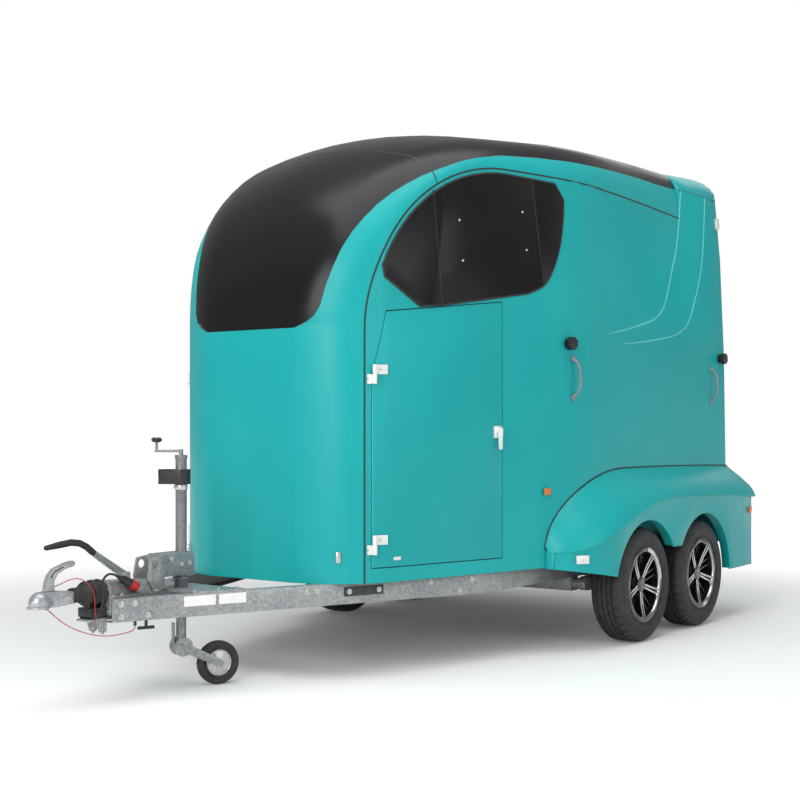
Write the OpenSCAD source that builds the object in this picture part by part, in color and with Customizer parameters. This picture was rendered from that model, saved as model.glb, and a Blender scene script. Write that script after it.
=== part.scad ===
// Two-horse trailer with a curved nose, in millimetres.
// X runs forward to the coupling, Y to the left, Z up, and the ground is Z = 0.

/* [Body shell] */
// Outer width of the body at the wheels
body_w = 1915; // [1860:5:1960]
// Height of the body's lower edge above the ground
sill_z = 455; // [445:1:470]
// Distance of the nose ahead of the middle of the two axles
nose_x = 2374; // [2340:1:2400]
// Distance of the rear face behind the middle of the two axles
rear_x = 1105; // [1080:1:1130]
// Thickness of the body walls
wall_t = 30; // [26:1:34]
// Width of the flat at the middle of the nose
nose_flat = 484; // [440:2:520]
// Radius of the nose corners, seen from above
nose_r = 400; // [380:5:420]
// Angle between the front part of a side wall and the X axis
taper = 14.6; // [14:0.1:15]
// Radius where the slanted side wall meets the straight one
blend_r = 1500; // [1300:50:1700]
// Joint between two body panels
seam = 0.6; // [0.4:0.1:0.8]

/* [Front arch] */
// Place of the arch's centre ahead of the axles
arch_x = 1350; // [1340:1:1360]
// Height of the arch's centre
arch_z = 1650; // [1630:1:1670]
// Radius of the joint between hoop and side wall
arch_r = 850; // [840:1:860]
// Fall of that joint along the roof
arch_fall = 50; // [30:1:60]
// Height of the dark dome's lower edge
dome_z = 1660; // [1655:1:1700]
// Highest point of the roof
roof_z = 2850; // [2840:1:2870]

/* [Rear hood] */
// Distance of the hood's front edge behind the axles
hood_x = 400; // [380:1:420]
// Height at which the hood sits on the side walls
hood_z = 2622; // [2610:1:2630]
// Height of the hood above the side walls
hood_rise = 258; // [250:1:265]

/* [Side doors] */
// Front edge of a side door
door_x1 = 2165; // [2160:1:2168]
// Rear edge of a side door
door_x0 = 1372; // [1340:1:1400]
// Lower edge of a side door
door_z0 = 528; // [515:1:545]
// Gap round a moving panel
door_gap = 5; // [5:0.5:6]
// Distance of the door's pin outside the wall
pin_out = 16; // [14:1:18]
// Diameter of the door's hinge pin
pin_d = 8; // [6:0.5:10]
// Height of the lower hinge
hinge_z0 = 590; // [580:1:610]
// Height of the upper hinge
hinge_z1 = 1395; // [1370:1:1410]

/* [Windows] */
// Thickness of the smoked pane
pane_t = 6; // [5:0.5:8]
// Strip of pane that covers the edge of its opening
pane_lap = 14; // [10:1:18]

/* [Rear opening] */
// Width of each rear pillar
pillar_w = 106; // [95:1:115]
// Thickness of ramp and upper flap
ramp_t = 45; // [40:1:50]
// Height of the ramp's upper edge
ramp_top = 1600; // [1580:1:1620]
// Height of the ramp's hinge
ramp_pin_z = 466; // [464:1:474]

/* [Wheels] */
// Diameter of a road tyre
tyre_d = 634; // [624:2:640]
// Width of a road tyre
tyre_w = 195; // [185:1:200]
// Diameter over the rim's outer lip
rim_d = 416; // [412:1:420]
// Distance between the two axles
axle_gap = 742; // [735:1:760]
// Distance between the middles of left and right tyres
track = 2055; // [2050:1:2062]
// Diameter of the stub axle
stub_d = 40; // [36:1:44]
// Running clearance on a stub axle, on the radius
run = 0.05; // [0.03:0.01:0.08]

/* [Mudguards] */
// Distance that a mudguard stands out from the body
guard_reach = 192.5; // [185:0.5:200]
// Front end of a mudguard
guard_x1 = 1080; // [1070:1:1090]
// Rear end of a mudguard
guard_x0 = 1125; // [1120:1:1135]
// Thickness of the mudguard's skin
guard_t = 8; // [7:0.5:10]
// Radius of a wheel arch
arch_cut_r = 376; // [370:1:380]

/* [Chassis] */
// Height of a frame rail
rail_h = 100; // [95:1:105]
// Width of a rail's flanges
rail_b = 50; // [45:1:55]
// Wall of the rails
rail_t = 4; // [3:0.5:5]
// Front end of the drawbar rails
bar_x = 3300; // [3280:1:3310]
// Distance of a rail's web from the middle at its front end
bar_y = 64; // [60:1:68]
// Distance of a rail's web from the middle below the body
frame_y = 775; // [760:1:785]
// Height of the coupling shaft
shaft_z = 484; // [480:1:488]
// Tip of the coupling
tip_x = 3686; // [3680:1:3690]

/* [Jockey wheel] */
// Distance of the jockey tube behind the front of the drawbar rails
jockey_back = 470; // [455:1:480]
// Diameter of the outer tube
jockey_d = 52; // [50:1:56]
// Diameter of the jockey wheel
jockey_wheel_d = 202; // [198:1:206]
// Width of the jockey wheel
jockey_wheel_w = 50; // [46:1:54]
// Distance of the wheel behind its swivel
jockey_trail = 180; // [170:1:190]
// Direction in which the wheel trails
jockey_turn = 156.6; // [150:0.1:160]

/* [Hidden] */
$fn = 64;

teal = "#2fa5a5";
black = "#26282c";
zinc = "#a9adb0";
rubber = "#1c1c1e";
white = "#e8e8e6";
grey = "#8a8f94";

half_w = body_w / 2;
hood_top = hood_z + hood_rise;
guard_w = body_w + 2 * guard_reach;
jockey_x = bar_x - jockey_back;
mid_x = (tip_x - guard_x0) / 2;
corner_x = nose_x - nose_r;
corner_y = nose_flat / 2;
blend_x = (corner_x * sin(taper) + corner_y * cos(taper) + nose_r - blend_r
  - (half_w - blend_r) * cos(taper)) / sin(taper);
tyre_r = tyre_d / 2;
sit = 0.3;

// Half width of the body at x, for a surface t inside the outer one
function plan_y(x, t = 0) =
  x >= corner_x + (nose_r - t) * sin(taper)
    ? corner_y + sqrt(max(0, pow(nose_r - t, 2) - pow(x - corner_x, 2)))
  : x >= blend_x + (blend_r - t) * sin(taper)
    ? corner_y + (nose_r - t) * cos(taper)
      + (corner_x + (nose_r - t) * sin(taper) - x) * tan(taper)
  : x >= blend_x ? half_w - blend_r + sqrt(pow(blend_r - t, 2) - pow(x - blend_x, 2))
  : half_w - t;

// Outline of the left half from the nose to the rear
function plan_half(t) = concat([[nose_x - t, 0]],
  [for (a = [0 : (90 - taper) / 14 : 90 - taper + 0.01])
    [corner_x + (nose_r - t) * cos(a), corner_y + (nose_r - t) * sin(a)]],
  [for (i = [0 : 6]) let (a = 90 - taper + taper * i / 6)
    [blend_x + (blend_r - t) * cos(a), half_w - blend_r + (blend_r - t) * sin(a)]],
  [[-rear_x - 50, half_w - t]]);

function turned(p) = [for (i = [len(p) - 1 : -1 : 0]) p[i]];
function mix(a, b, f) = a + (b - a) * f;

module along_y(y0, y1) {
  translate([0, y1, 0]) rotate([90, 0, 0]) linear_extrude(y1 - y0) children();
}
module along_x(x0, x1) {
  translate([x0, 0, 0]) rotate([90, 0, 90]) linear_extrude(x1 - x0) children();
}
module box(x0, x1, y0, y1, z0, z1) {
  translate([x0, y0, z0]) cube([x1 - x0, y1 - y0, z1 - z0]);
}
module both() {
  children();
  mirror([0, 1, 0]) children();
}
module on_side(s) {
  if (s > 0) children();
  else mirror([0, 1, 0]) children();
}

// Angles of the arch's stations, and the number of steps along the roof
dome_a = asin((dome_z - arch_z) / (nose_x - arch_x));
// Rounded lower corners of the dark dome: degrees above its lower edge, share of the corner
dome_corner = [[0, 0.12], [1.3, 0.26], [3.2, 0.36], [6, 0.41]];
row_angles = concat([for (p = dome_corner) dome_a + p[0]],
  [for (i = [1 : 15]) dome_a + 6 + (84 - dome_a) * i / 15]);
roof_rows = 7;

// Height of the joint between hoop and side wall, along the roof
function joint_z(x) = arch_z + arch_r - arch_fall * pow((arch_x - x) / (arch_x + hood_x), 2);

// Rear edge of the side walls, from the top down
rear_edge = [[-rear_x + 168, hood_z], [-rear_x + 89, 2260], [-rear_x + 26, 1640], [-rear_x, 920]];

side_line = concat(
  [[arch_x + arch_r - seam, sill_z]],
  [for (a = concat([0], row_angles)) [arch_x + (arch_r - seam) * cos(a), arch_z + (arch_r - seam) * sin(a)]],
  [for (i = [1 : roof_rows]) let (x = mix(arch_x, -hood_x, i / roof_rows)) [x, joint_z(x) - seam]],
  [[-hood_x, hood_z]], rear_edge, [[-rear_x, sill_z]]);

door_top0 = 1823;
door_top1 = 1739;
door_line = [[door_x0, door_z0], [door_x1, door_z0], [door_x1, 1440], [door_x1 - 70, door_top1],
  [door_x0, door_top0]];
door_hole = [[door_x0 - door_gap, door_z0 - door_gap], [door_x1 + door_gap, door_z0 - door_gap],
  [door_x1 + door_gap, 1441], [door_x1 - 66, door_top1 + door_gap],
  [door_x0 - door_gap, door_top0 + door_gap]];

// Edge of the window opening, m inside the pane's own edge
function window_line(m) = concat(
  [[1199, 1880 + m], [1756, 1790 + m], [1896 - m / 2, 1776 + m], [2105 - m, 1905 + m / 3]],
  [for (a = [22 : 4 : 90]) [arch_x + (arch_r - 25 - m) * cos(a), arch_z + (arch_r - 25 - m) * sin(a)]],
  [[1010 + m / 2, 2466 - m], [946 + m, 2390 - m / 3], [964 + m, 2176], [1014 + m, 2030],
   [1079 + m / 2, 1935 + m / 2]]);

module wall_skin(t0, t1, z0, z1) {
  translate([0, 0, z0]) linear_extrude(z1 - z0)
    polygon(concat(plan_half(t0), turned(plan_half(t1))));
}

// Two creases in the side wall: x, z and share of the full height. Each is a step
// outward, and the raised skin runs back to the wall along the last line.
crease_h = 4;
crease_w = 7;
crease_1 = [[-418, 2640, 1], [-398, 2440, 1], [-360, 2270, 1], [-306, 2140, 1], [-225, 1960, 1],
  [-165, 1880, 1], [-70, 1824, 1], [60, 1790, 0.9], [240, 1752, 0.7], [400, 1724, 0.4], [554, 1701, 0]];
crease_2 = [[-769, 2700, 1], [-758, 2500, 1], [-735, 2280, 1], [-680, 2090, 1], [-590, 1920, 1],
  [-520, 1826, 1], [-420, 1768, 1], [-270, 1730, 0.9], [-60, 1700, 0.7], [180, 1672, 0.4], [430, 1650, 0]];
crease_3 = [[-880, 2700, 1], [-900, 2500, 1], [-950, 2280, 1], [-985, 2090, 1], [-970, 1900, 1],
  [-900, 1740, 1], [-780, 1660, 1], [-600, 1620, 1], [-340, 1600, 1], [-40, 1600, 1], [300, 1620, 1]];
module crease() {
  n = len(crease_1);
  lean = [for (i = [0 : n - 1]) let (a = crease_1[max(i - 1, 0)], b = crease_1[min(i + 1, n - 1)],
    d = [b[0] - a[0], b[1] - a[1]]) [d[1], -d[0]] / norm(d)];
  // Lines across one station: foot and edge of both steps, then the far side and the base
  function lines(i) = let (a = crease_1[i], b = crease_2[i], c = crease_3[i], u = lean[i] * crease_w,
      h = crease_h, y = half_w - sit)
    [[a[0], y, a[1]], [a[0] + u[0], y + h * a[2], a[1] + u[1]],
     [b[0], y + h * b[2] * 0.8, b[1]], [b[0] + u[0], y + h * b[2] * 1.8, b[1] + u[1]],
     [c[0], y, c[1]], [c[0], y - 6, c[1]], [a[0], y - 6, a[1]]];
  m = 7;
  pts = [for (i = [0 : n - 1]) each lines(i)];
  faces = concat([for (i = [0 : n - 2]) for (j = [0 : m - 1])
      let (a = i * m + j, b = i * m + (j + 1) % m) each [[a, b, a + m], [b, b + m, a + m]]],
    [[6, 5, 4, 3, 2, 1, 0]], [[for (j = [0 : m - 1]) (n - 1) * m + j]]);
  polyhedron(points = pts, faces = faces, convexity = 6);
}

// Recess for the wheels: half length, height, and distance from the middle
well_x = 800;
well_z = 702;
well_y = 900;
well_t = 20;
module side_wall() {
  color(teal) difference() {
    union() {
      intersection() {
        union() {
          wall_skin(0, wall_t, sill_z, hood_z);
          crease();
        }
        along_y(0, half_w + 10) polygon(side_line);
      }
      box(-well_x - well_t, well_x + well_t, well_y - well_t, half_w - wall_t + 1,
        sill_z, well_z + well_t);
    }
    along_y(0, half_w + 10) polygon(door_hole);
    along_y(0, half_w + 10) polygon(window_line(pane_lap));
    box(-well_x, well_x, well_y, half_w + 10, sill_z - 1, well_z);
  }
}
module side_left() side_wall();
module side_right() mirror([0, 1, 0]) side_wall();

// Grooves that part the pane in three: foot and head of each
pane_groove = [[[1812, 1760], [1742, 2480]], [[1084, 1900], [1175, 2520]]];
groove_w = 4;
module pane() {
  color(black) difference() {
    intersection() {
      wall_skin(-pane_t, 0, 1700, 2520);
      along_y(0, half_w + 20) polygon(window_line(0));
    }
    intersection() {
      wall_skin(-pane_t - 1, -pane_t * 0.6, 1700, 2520);
      along_y(0, half_w + 20) for (g = pane_groove)
        polygon([g[0], g[1], g[1] + [groove_w, 0], g[0] + [groove_w, 0]]);
    }
  }
}
module window_left() pane();
module window_right() mirror([0, 1, 0]) pane();

pin_x = door_x1 + 3;
pin_y = plan_y(door_x1) + pin_out;
hinge_h = 45;
hinge_w = 34;
wall_dir = atan2(door_x1 - corner_x, plan_y(door_x1) - corner_y);
// Knuckle on the pin axis with a leaf from x0 to x1 along the wall
module knuckle(z, hole, x0, x1) {
  difference() {
    translate([pin_x, pin_y, z]) rotate([0, 0, -wall_dir]) difference() {
      union() {
        cylinder(d = 22, h = hinge_h);
        translate([x0, -pin_out - 10, 0]) cube([x1 - x0, 18, hinge_h]);
      }
      translate([0, 0, -1]) cylinder(d = hole, h = hinge_h + 2);
    }
    translate([0, 0, z - 1]) linear_extrude(hinge_h + 2)
      polygon(concat(plan_half(-sit), [[-rear_x - 50, 0]]));
  }
}
lever_z = 1165;
module door() {
  color(teal) intersection() {
    wall_skin(0, wall_t, door_z0, door_top0);
    along_y(0, half_w) polygon(door_line);
  }
  color(white) for (z = [hinge_z0, hinge_z1])
    knuckle(z + hinge_h + 0.5, pin_d + 2 * run, -70, 0);
  // Lever plate near the rear edge, with the lever hanging from its boss
  hx = door_x0 + 34;
  color(white) translate([hx, plan_y(hx), lever_z]) rotate([0, 0, -taper]) {
    translate([-24, sit, -30]) cube([48, 12, 60]);
    translate([0, 11, 8]) rotate([-90, 0, 0]) cylinder(d = 30, h = 16);
    translate([0, 26, 0]) rotate([90, 0, 0]) translate([0, 0, -8]) linear_extrude(12)
      polygon([[-11, 20], [11, 20], [10, -40], [7, -88], [-7, -88], [-9, -40]]);
  }
}
module door_left() door();
module door_right() mirror([0, 1, 0]) door();

module hinges() {
  color(white) both() for (z = [hinge_z0, hinge_z1]) {
    knuckle(z, pin_d - 1, 0, 34);
    translate([pin_x, pin_y, z]) cylinder(d = pin_d, h = 2 * hinge_h);
  }
}

// Nose, dome and hoop are one surface, cut into panels. A station is a plane
// through the arch's axis at the front and a plane across X along the roof.
// Rows: bottom of the nose, foot of the arch, the arch, then the roof
function row_count() = 2 + len(row_angles) + roof_rows;
function is_low(i) = i < 2;
function is_roof(i) = i >= 2 + len(row_angles);
function row_phi(i) = is_low(i) ? 0 : is_roof(i) ? 90 : row_angles[i - 2];
function row_x(i) = is_roof(i)
  ? mix(arch_x, -hood_x + sit, (i - 1 - len(row_angles)) / roof_rows) : arch_x;
function row_base(i) = is_low(i) ? (i == 0 ? sill_z : arch_z) : arch_z;
// Depth of the joint and of the crest, measured from the arch's axis
function row_joint(i) = is_roof(i) ? joint_z(row_x(i)) - arch_z : arch_r;
roof_start = 82;
roof_peak = 1900;
function row_crest(i) = is_roof(i)
  ? roof_z - arch_z - (roof_z - arch_z - (nose_x - arch_x) - roof_start)
    * pow((row_x(i) - arch_x + roof_peak) / roof_peak, 2)
  : nose_x - arch_x + roof_start * pow(row_phi(i) / 90, 3);
function row_crown(i) = is_roof(i) ? mix(78, 100, (arch_x - row_x(i)) / (arch_x + hood_x))
  : 78 * pow(row_phi(i) / 90, 1.2);
function row_side_x(i) = is_roof(i) ? row_x(i) : arch_x + arch_r * cos(row_phi(i));
function row_inset(i) = is_roof(i) ? mix(190, 170, (arch_x - row_x(i)) / (arch_x + hood_x))
  : mix(330, 190, row_phi(i) / 90);
// Share of the corner that belongs to the dark dome
function row_edge(i) = is_roof(i) ? lookup((arch_x - row_x(i)) / (arch_x + hood_x),
    [[0, 0.655], [0.15, 0.62], [0.6, 0.62], [0.75, 0.64], [0.88, 0.68], [1, 0.68]])
  : lookup(row_phi(i), concat([for (p = dome_corner) [dome_a + p[0], p[1]]],
    [[19, 0.4], [25, 0.385], [30, 0.4], [41, 0.48], [52, 0.6], [63, 0.7], [68, 0.72], [84, 0.7], [90, 0.655]]));

// How long the corner curve keeps the wall's direction
function corner_hold(i) = is_roof(i) ? mix(0.56, 0.96, pow((arch_x - row_x(i)) / (arch_x + hood_x), 2)) : 0.56;

// Point of the corner curve, f from the crown's edge to the joint
function corner_pt(i, f) =
  let (g = [row_joint(i), plan_y(row_side_x(i))],
       e = [row_crest(i) - row_crown(i), g[1] - row_inset(i)],
       se = 2 * row_crown(i) / e[1],
       h = 0.5,
       sg = (plan_y(row_side_x(i) - h) - plan_y(row_side_x(i) + h)) / (2 * h) * cos(row_phi(i)),
       te = [-se, 1], tg = [-1, sg],
       k = cross(g - e, tg) / cross(te, tg),
       m = cross(g - e, te) / cross(te, tg),
       c1 = e + te * k * 0.56, c2 = g + tg * m * corner_hold(i))
  e * pow(1 - f, 3) + c1 * 3 * f * pow(1 - f, 2) + c2 * 3 * f * f * (1 - f) + g * pow(f, 3);

crown_cols = 4;
edge_cols = 5;
band_cols = 4;
side_cols = crown_cols + edge_cols + band_cols;
// Point of column c, from 0 at the crest to side_cols at the joint
function col_pt(i, c, shift) =
  let (ey = corner_pt(i, 0)[1])
  c <= crown_cols
    ? [row_crest(i) - row_crown(i) * pow(c / crown_cols, 2), ey * c / crown_cols]
  : c <= crown_cols + edge_cols
    ? corner_pt(i, (row_edge(i) + shift) * (c - crown_cols) / edge_cols)
  : corner_pt(i, mix(row_edge(i) + shift, 1, (c - crown_cols - edge_cols) / band_cols));
function unit2(v) = v / norm(v);
// The same point, t inside the outer surface
function col_in(i, c, shift, t) =
  c == side_cols ? [row_joint(i), plan_y(row_side_x(i), t)]
  : c == 0 ? col_pt(i, 0, shift) - [t, 0]
  : let (d = unit2(col_pt(i, c + 1, shift) - col_pt(i, c - 1, shift)))
    col_pt(i, c, shift) - t * [d[1], -d[0]];
function place(i, p, s) = is_low(i) ? [arch_x + p[0], s * p[1], row_base(i)]
  : is_roof(i) ? [row_x(i), s * p[1], arch_z + p[0]]
  : [arch_x + p[0] * cos(row_phi(i)), s * p[1], arch_z + p[0] * sin(row_phi(i))];

grid_cols = 2 * side_cols;
function grid_pt(i, j, t, shift) =
  let (c = abs(j - side_cols), s = j < side_cols ? 1 : -1)
  place(i, t == 0 ? col_pt(i, c, shift) : col_in(i, c, shift, t), s);

dome_row = 2;
dome_col = band_cols;
function is_dome(i, j) = i >= dome_row && j >= dome_col && j < grid_cols - dome_col;

// Closed panel made of the grid cells that belong to it
module panel(rows0, wants_dome, shift) {
  n = row_count();
  m = grid_cols + 1;
  pts = concat([for (i = [0 : n - 1]) for (j = [0 : m - 1]) grid_pt(i, j, 0, shift)],
    [for (i = [0 : n - 1]) for (j = [0 : m - 1]) grid_pt(i, j, wall_t, shift)]);
  b = n * m;
  cells = [for (i = [rows0 : n - 2]) for (j = [0 : m - 2]) if (is_dome(i, j) == wants_dome) [i, j]];
  faces = [for (q = cells) let (a = q[0] * m + q[1], i = q[0], j = q[1])
    each concat(
      [[a, a + m, a + 1], [a + 1, a + m, a + m + 1],
       [b + a, b + a + 1, b + a + m], [b + a + 1, b + a + m + 1, b + a + m]],
      i == rows0 || is_dome(i - 1, j) != wants_dome
        ? [[a, a + 1, b + a], [a + 1, b + a + 1, b + a]] : [],
      i == n - 2 || is_dome(i + 1, j) != wants_dome
        ? [[a + m, b + a + m, a + m + 1], [a + m + 1, b + a + m, b + a + m + 1]] : [],
      j == 0 || is_dome(i, j - 1) != wants_dome
        ? [[a, b + a, a + m], [a + m, b + a, b + a + m]] : [],
      j == m - 2 || is_dome(i, j + 1) != wants_dome
        ? [[a + 1, a + m + 1, b + a + 1], [a + m + 1, b + a + m + 1, b + a + 1]] : [])];
  polyhedron(points = pts, faces = [for (f = faces) turned(f)], convexity = 8);
}
module nose_shell() color(teal) panel(0, false, 0.004);
module roof_dome() color(black) translate([seam * 0.7, 0, seam]) panel(dome_row, true, 0);

in_y = half_w - wall_t - sit;
open_y = in_y - pillar_w;
// Cross-section of the hood, m inside its outer surface, s from its front to its rear
hood_steps = 10;
hood_end = rear_x - 80;
function hood_share(x) = (-hood_x - x) / (hood_end - hood_x);
function hood_line(m, s) =
  let (q = 2 / mix(2.05, 2.3, s), rise = hood_rise - 43 * (1 - s))
  [for (j = [0 : hood_steps]) let (a = 90 * j / hood_steps)
    [(half_w - m) * pow(cos(a), q), hood_z + (rise - m) * pow(sin(a), q)]];
function hood_arch(m, s) = let (h = hood_line(m, s))
  concat(h, [for (j = [hood_steps - 1 : -1 : 0]) [-h[j][0], h[j][1]]]);
// Inner edge of the roof where it ends below the hood, from the joint to the crest
function roof_line() = [for (j = [0 : side_cols])
  let (p = grid_pt(row_count() - 1, j, wall_t, 0)) [p[1], p[2]]];
bulkhead_t = 14;
module hood_shell() {
  n = 2 * hood_steps + 1;
  w = 2 * n;
  stations = 4;
  pts = [for (k = [0 : stations]) let (s = k / stations, x = mix(-hood_x - sit, -hood_end, s))
    each [for (p = concat(hood_arch(0, s), hood_arch(wall_t, s))) [x, p[0], p[1]]]];
  faces = concat(
    [for (k = [0 : stations - 1]) for (j = [0 : n - 2]) let (a = k * w + j, b = a + n)
      each [[a, a + 1, a + w], [a + 1, a + w + 1, a + w], [b, b + w, b + 1], [b + 1, b + w, b + w + 1]]],
    [for (k = [0 : stations - 1]) let (a = k * w, b = a + n, c = b - 1, d = c + n)
      each [[a, a + w, b], [a + w, b + w, b], [c, d, c + w], [d, d + w, c + w]]],
    [for (j = [0 : n - 2]) let (a = stations * w + j)
      each [[j, j + n, j + 1], [j + 1, j + n, j + n + 1], [a, a + 1, a + n], [a + 1, a + n + 1, a + n]]]);
  polyhedron(points = pts, faces = faces, convexity = 4);
}
module rear_hood() {
  color(teal) {
    intersection() {
      hood_shell();
      along_y(-half_w - 1, half_w + 1) polygon([[-hood_x + 1, hood_z - 1], [-rear_x + 166, hood_z - 1],
        [-rear_x + 158, hood_z + 90], [-rear_x + 110, hood_z + 170], [-rear_x + 84, hood_z + 215],
        [-rear_x + 84, hood_top + 10], [-hood_x + 1, hood_top + 10]]);
    }
    // Bulkhead that closes the step between roof and hood
    let (r = roof_line()) both() difference() {
      along_x(-hood_x - bulkhead_t, -hood_x - sit)
        polygon(concat([[in_y - 60, r[0][1]], [in_y, r[0][1]], [in_y, hood_z]],
          [for (p = hood_line(wall_t - 1, 0)) if (p[0] > in_y - 200) p]));
      along_x(-hood_x - bulkhead_t - 1, -hood_x) polygon(concat([[0, hood_z - 200], [in_y - 1, hood_z - 200]],
        [for (j = [0 : side_cols]) [r[j][0] - (j == 0 ? 1 : 0), r[j][1]]]));
    }
  }
}

module rear_frame() {
  side = [[-rear_x + 1, sill_z], [-rear_x + 81, sill_z], [-rear_x + 105, 1640],
    [-rear_x + 169, 2260], [-rear_x + 248, hood_z - 1], [-rear_x + 169, hood_z - 1],
    [-rear_x + 90, 2260], [-rear_x + 27, 1640], [-rear_x + 1, 920]];
  color(teal) {
    both() along_y(open_y, in_y) polygon(side);
    along_y(-open_y - 1, open_y + 1) polygon([[-rear_x + 165, 2572], [-rear_x + 243, 2572],
      [-rear_x + 248, hood_z - 1], [-rear_x + 169, hood_z - 1]]);
    box(-rear_x + ramp_t + 15, -rear_x + 81, -open_y - 1, open_y + 1, sill_z, sill_z + 30);
    // Panel between the lintel and the hood
    along_x(-rear_x + 180, -rear_x + 200)
      polygon(concat(hood_arch(wall_t + 1.5, hood_share(-rear_x + 200)),
        [[-in_y, hood_z - 10], [in_y, hood_z - 10]]));
  }
  color(zinc) for (p = [[ramp_pin_x, ramp_pin_z], [flap_pin_x, flap_pin_z]])
    translate([p[0], open_y + 2, p[1]]) rotate([90, 0, 0]) cylinder(d = 12, h = 2 * open_y + 4);
}
ramp_pin_x = -rear_x + 8;
flap_pin_z = 2553;
flap_pin_x = -rear_x + 162;
module ramp() {
  y = open_y - door_gap;
  color(teal) box(-rear_x + 8, -rear_x + 8 + ramp_t, -y, y, ramp_pin_z + 14, ramp_top);
  color(zinc) translate([ramp_pin_x, y, ramp_pin_z]) rotate([90, 0, 0]) difference() {
    union() {
      cylinder(d = 22, h = 2 * y);
      cube([ramp_t - 12, 15, 2 * y]);
    }
    translate([0, 0, -1]) cylinder(r = 6 + run, h = 2 * y + 2);
  }
}
flap_lean = atan2(120, 930);
module top_flap() {
  y = open_y - door_gap;
  color(teal) along_y(-y, y) difference() {
    union() {
      translate([-rear_x + 40, ramp_top + 12]) rotate(-flap_lean) square([ramp_t - 15, 945]);
      translate([flap_pin_x, flap_pin_z]) circle(d = 22);
    }
    translate([flap_pin_x, flap_pin_z]) circle(r = 6 + run);
  }
}

// Frame rails, bent where the drawbar meets the frame
bar_slope = 0.39;
bend_x = bar_x - (frame_y - bar_y) / bar_slope;
bar_a = atan(bar_slope);
function bar_at(x) = bar_y + (bar_x - x) * bar_slope;
// Line of a rail, m inside its web
function rail_at(m) = [[bar_x, bar_y - m / cos(bar_a)],
  [bend_x - m * tan(bar_a / 2), frame_y - m], [-rear_x + 60, frame_y - m]];
module rail() {
  color(zinc) translate([0, 0, sill_z - rail_h]) {
    linear_extrude(rail_h) polygon(concat(rail_at(0), turned(rail_at(rail_t))));
    for (z = [0, rail_h - rail_t]) translate([0, 0, z])
      linear_extrude(rail_t) polygon(concat(rail_at(0), turned(rail_at(rail_b))));
  }
}
module rail_left() rail();
module rail_right() mirror([0, 1, 0]) rail();

cross_at = [1300, 60, -480, -1000];
// Brake rod beside the jockey tube
brake_y = -45;
brake_z = 368;
brake_x1 = bar_x - 296;
brake_x0 = axle_gap / 2 + 150 + 40 + sit;
module cross_frame() {
  y = frame_y - rail_b - sit;
  color(zinc) {
    for (x = cross_at) difference() {
      box(x - 25, x + 25, -y, y, sill_z - 70, sill_z);
      box(x - 21, x + 26, -y - 1, y + 1, sill_z - 66, sill_z - 4);
    }
    // Brake rod from the overrun device to the front axle, held by the first member
    translate([brake_x0 + 1, brake_y, brake_z]) rotate([0, 90, 0])
      cylinder(d = 10, h = brake_x1 - sit - brake_x0 - 1);
    box(cross_at[0] - 4, cross_at[0] + 4, brake_y - 6, brake_y + 6, brake_z, sill_z - 66);
    box(brake_x0, brake_x0 + 8, brake_y - 15, brake_y + 15, brake_z - 40, brake_z + 12);
    // Plates that take a jack behind the wheels
    both() box(-840, -760, frame_y - 46, frame_y - 4, sill_z - rail_h - 12, sill_z - rail_h - sit);
    translate([0, 0, sill_z]) linear_extrude(8) difference() {
      polygon([for (p = [[-120, 1], [120, 1], [120, -1], [-120, -1]])
        [jockey_x + p[0], p[1] * bar_at(jockey_x + p[0])]]);
      translate([jockey_x, 0]) circle(d = jockey_d + 1);
    }
    // Clamp of the jockey tube with its two gussets
    translate([jockey_x, 0, 0]) {
      difference() {
        box(-44, 166, -42, 42, 520, 624);
        box(-38, 160, -36, 36, 519, 618);
        cylinder(d = jockey_d + 1, h = 1000);
      }
      difference() {
        box(-39, 60, -37, 37, 540, 604);
        cylinder(d = jockey_d + 1, h = 1000);
      }
      both() difference() {
        along_y(41, 47) polygon([[150, sill_z + 12 + sit], [218, sill_z + 12 + sit], [252, 530],
          [234, 612], [176, 618], [140, 618]]);
        translate([204, 60, 582]) rotate([90, 0, 0]) cylinder(d = 38, h = 40);
      }
    }
  }
}

arm = 150;
module axle(x) {
  color(zinc) {
    box(x + arm - 40, x + arm + 40, -frame_y + 20, frame_y - 20,
      sill_z - rail_h - 80 - sit, sill_z - rail_h - sit);
    both() {
      hull() for (p = [[x + arm, tyre_r], [x, tyre_r]])
        translate([p[0], frame_y + 65, p[1]]) rotate([90, 0, 0]) cylinder(d = 76, h = 45);
      translate([x + arm, frame_y + 30, tyre_r - 2]) rotate([90, 0, 0]) cylinder(d = 60, h = 60);
      translate([x, frame_y + 112, tyre_r]) rotate([90, 0, 0]) cylinder(d = 60, h = 60);
      translate([x, frame_y + 130, tyre_r]) rotate([90, 0, 0]) cylinder(d = 240, h = 12);
      translate([x, track / 2 + 50, tyre_r]) rotate([90, 0, 0])
        cylinder(d = stub_d, h = track / 2 + 50 - frame_y - 100);
    }
  }
}
module axle_front() axle(axle_gap / 2);
module axle_rear() axle(-axle_gap / 2);

rim_seat = rim_d / 2 - 17;
// Inner face of the rim's lip, from the tyre's middle
lip_z = tyre_w / 2 - 16;
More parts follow.
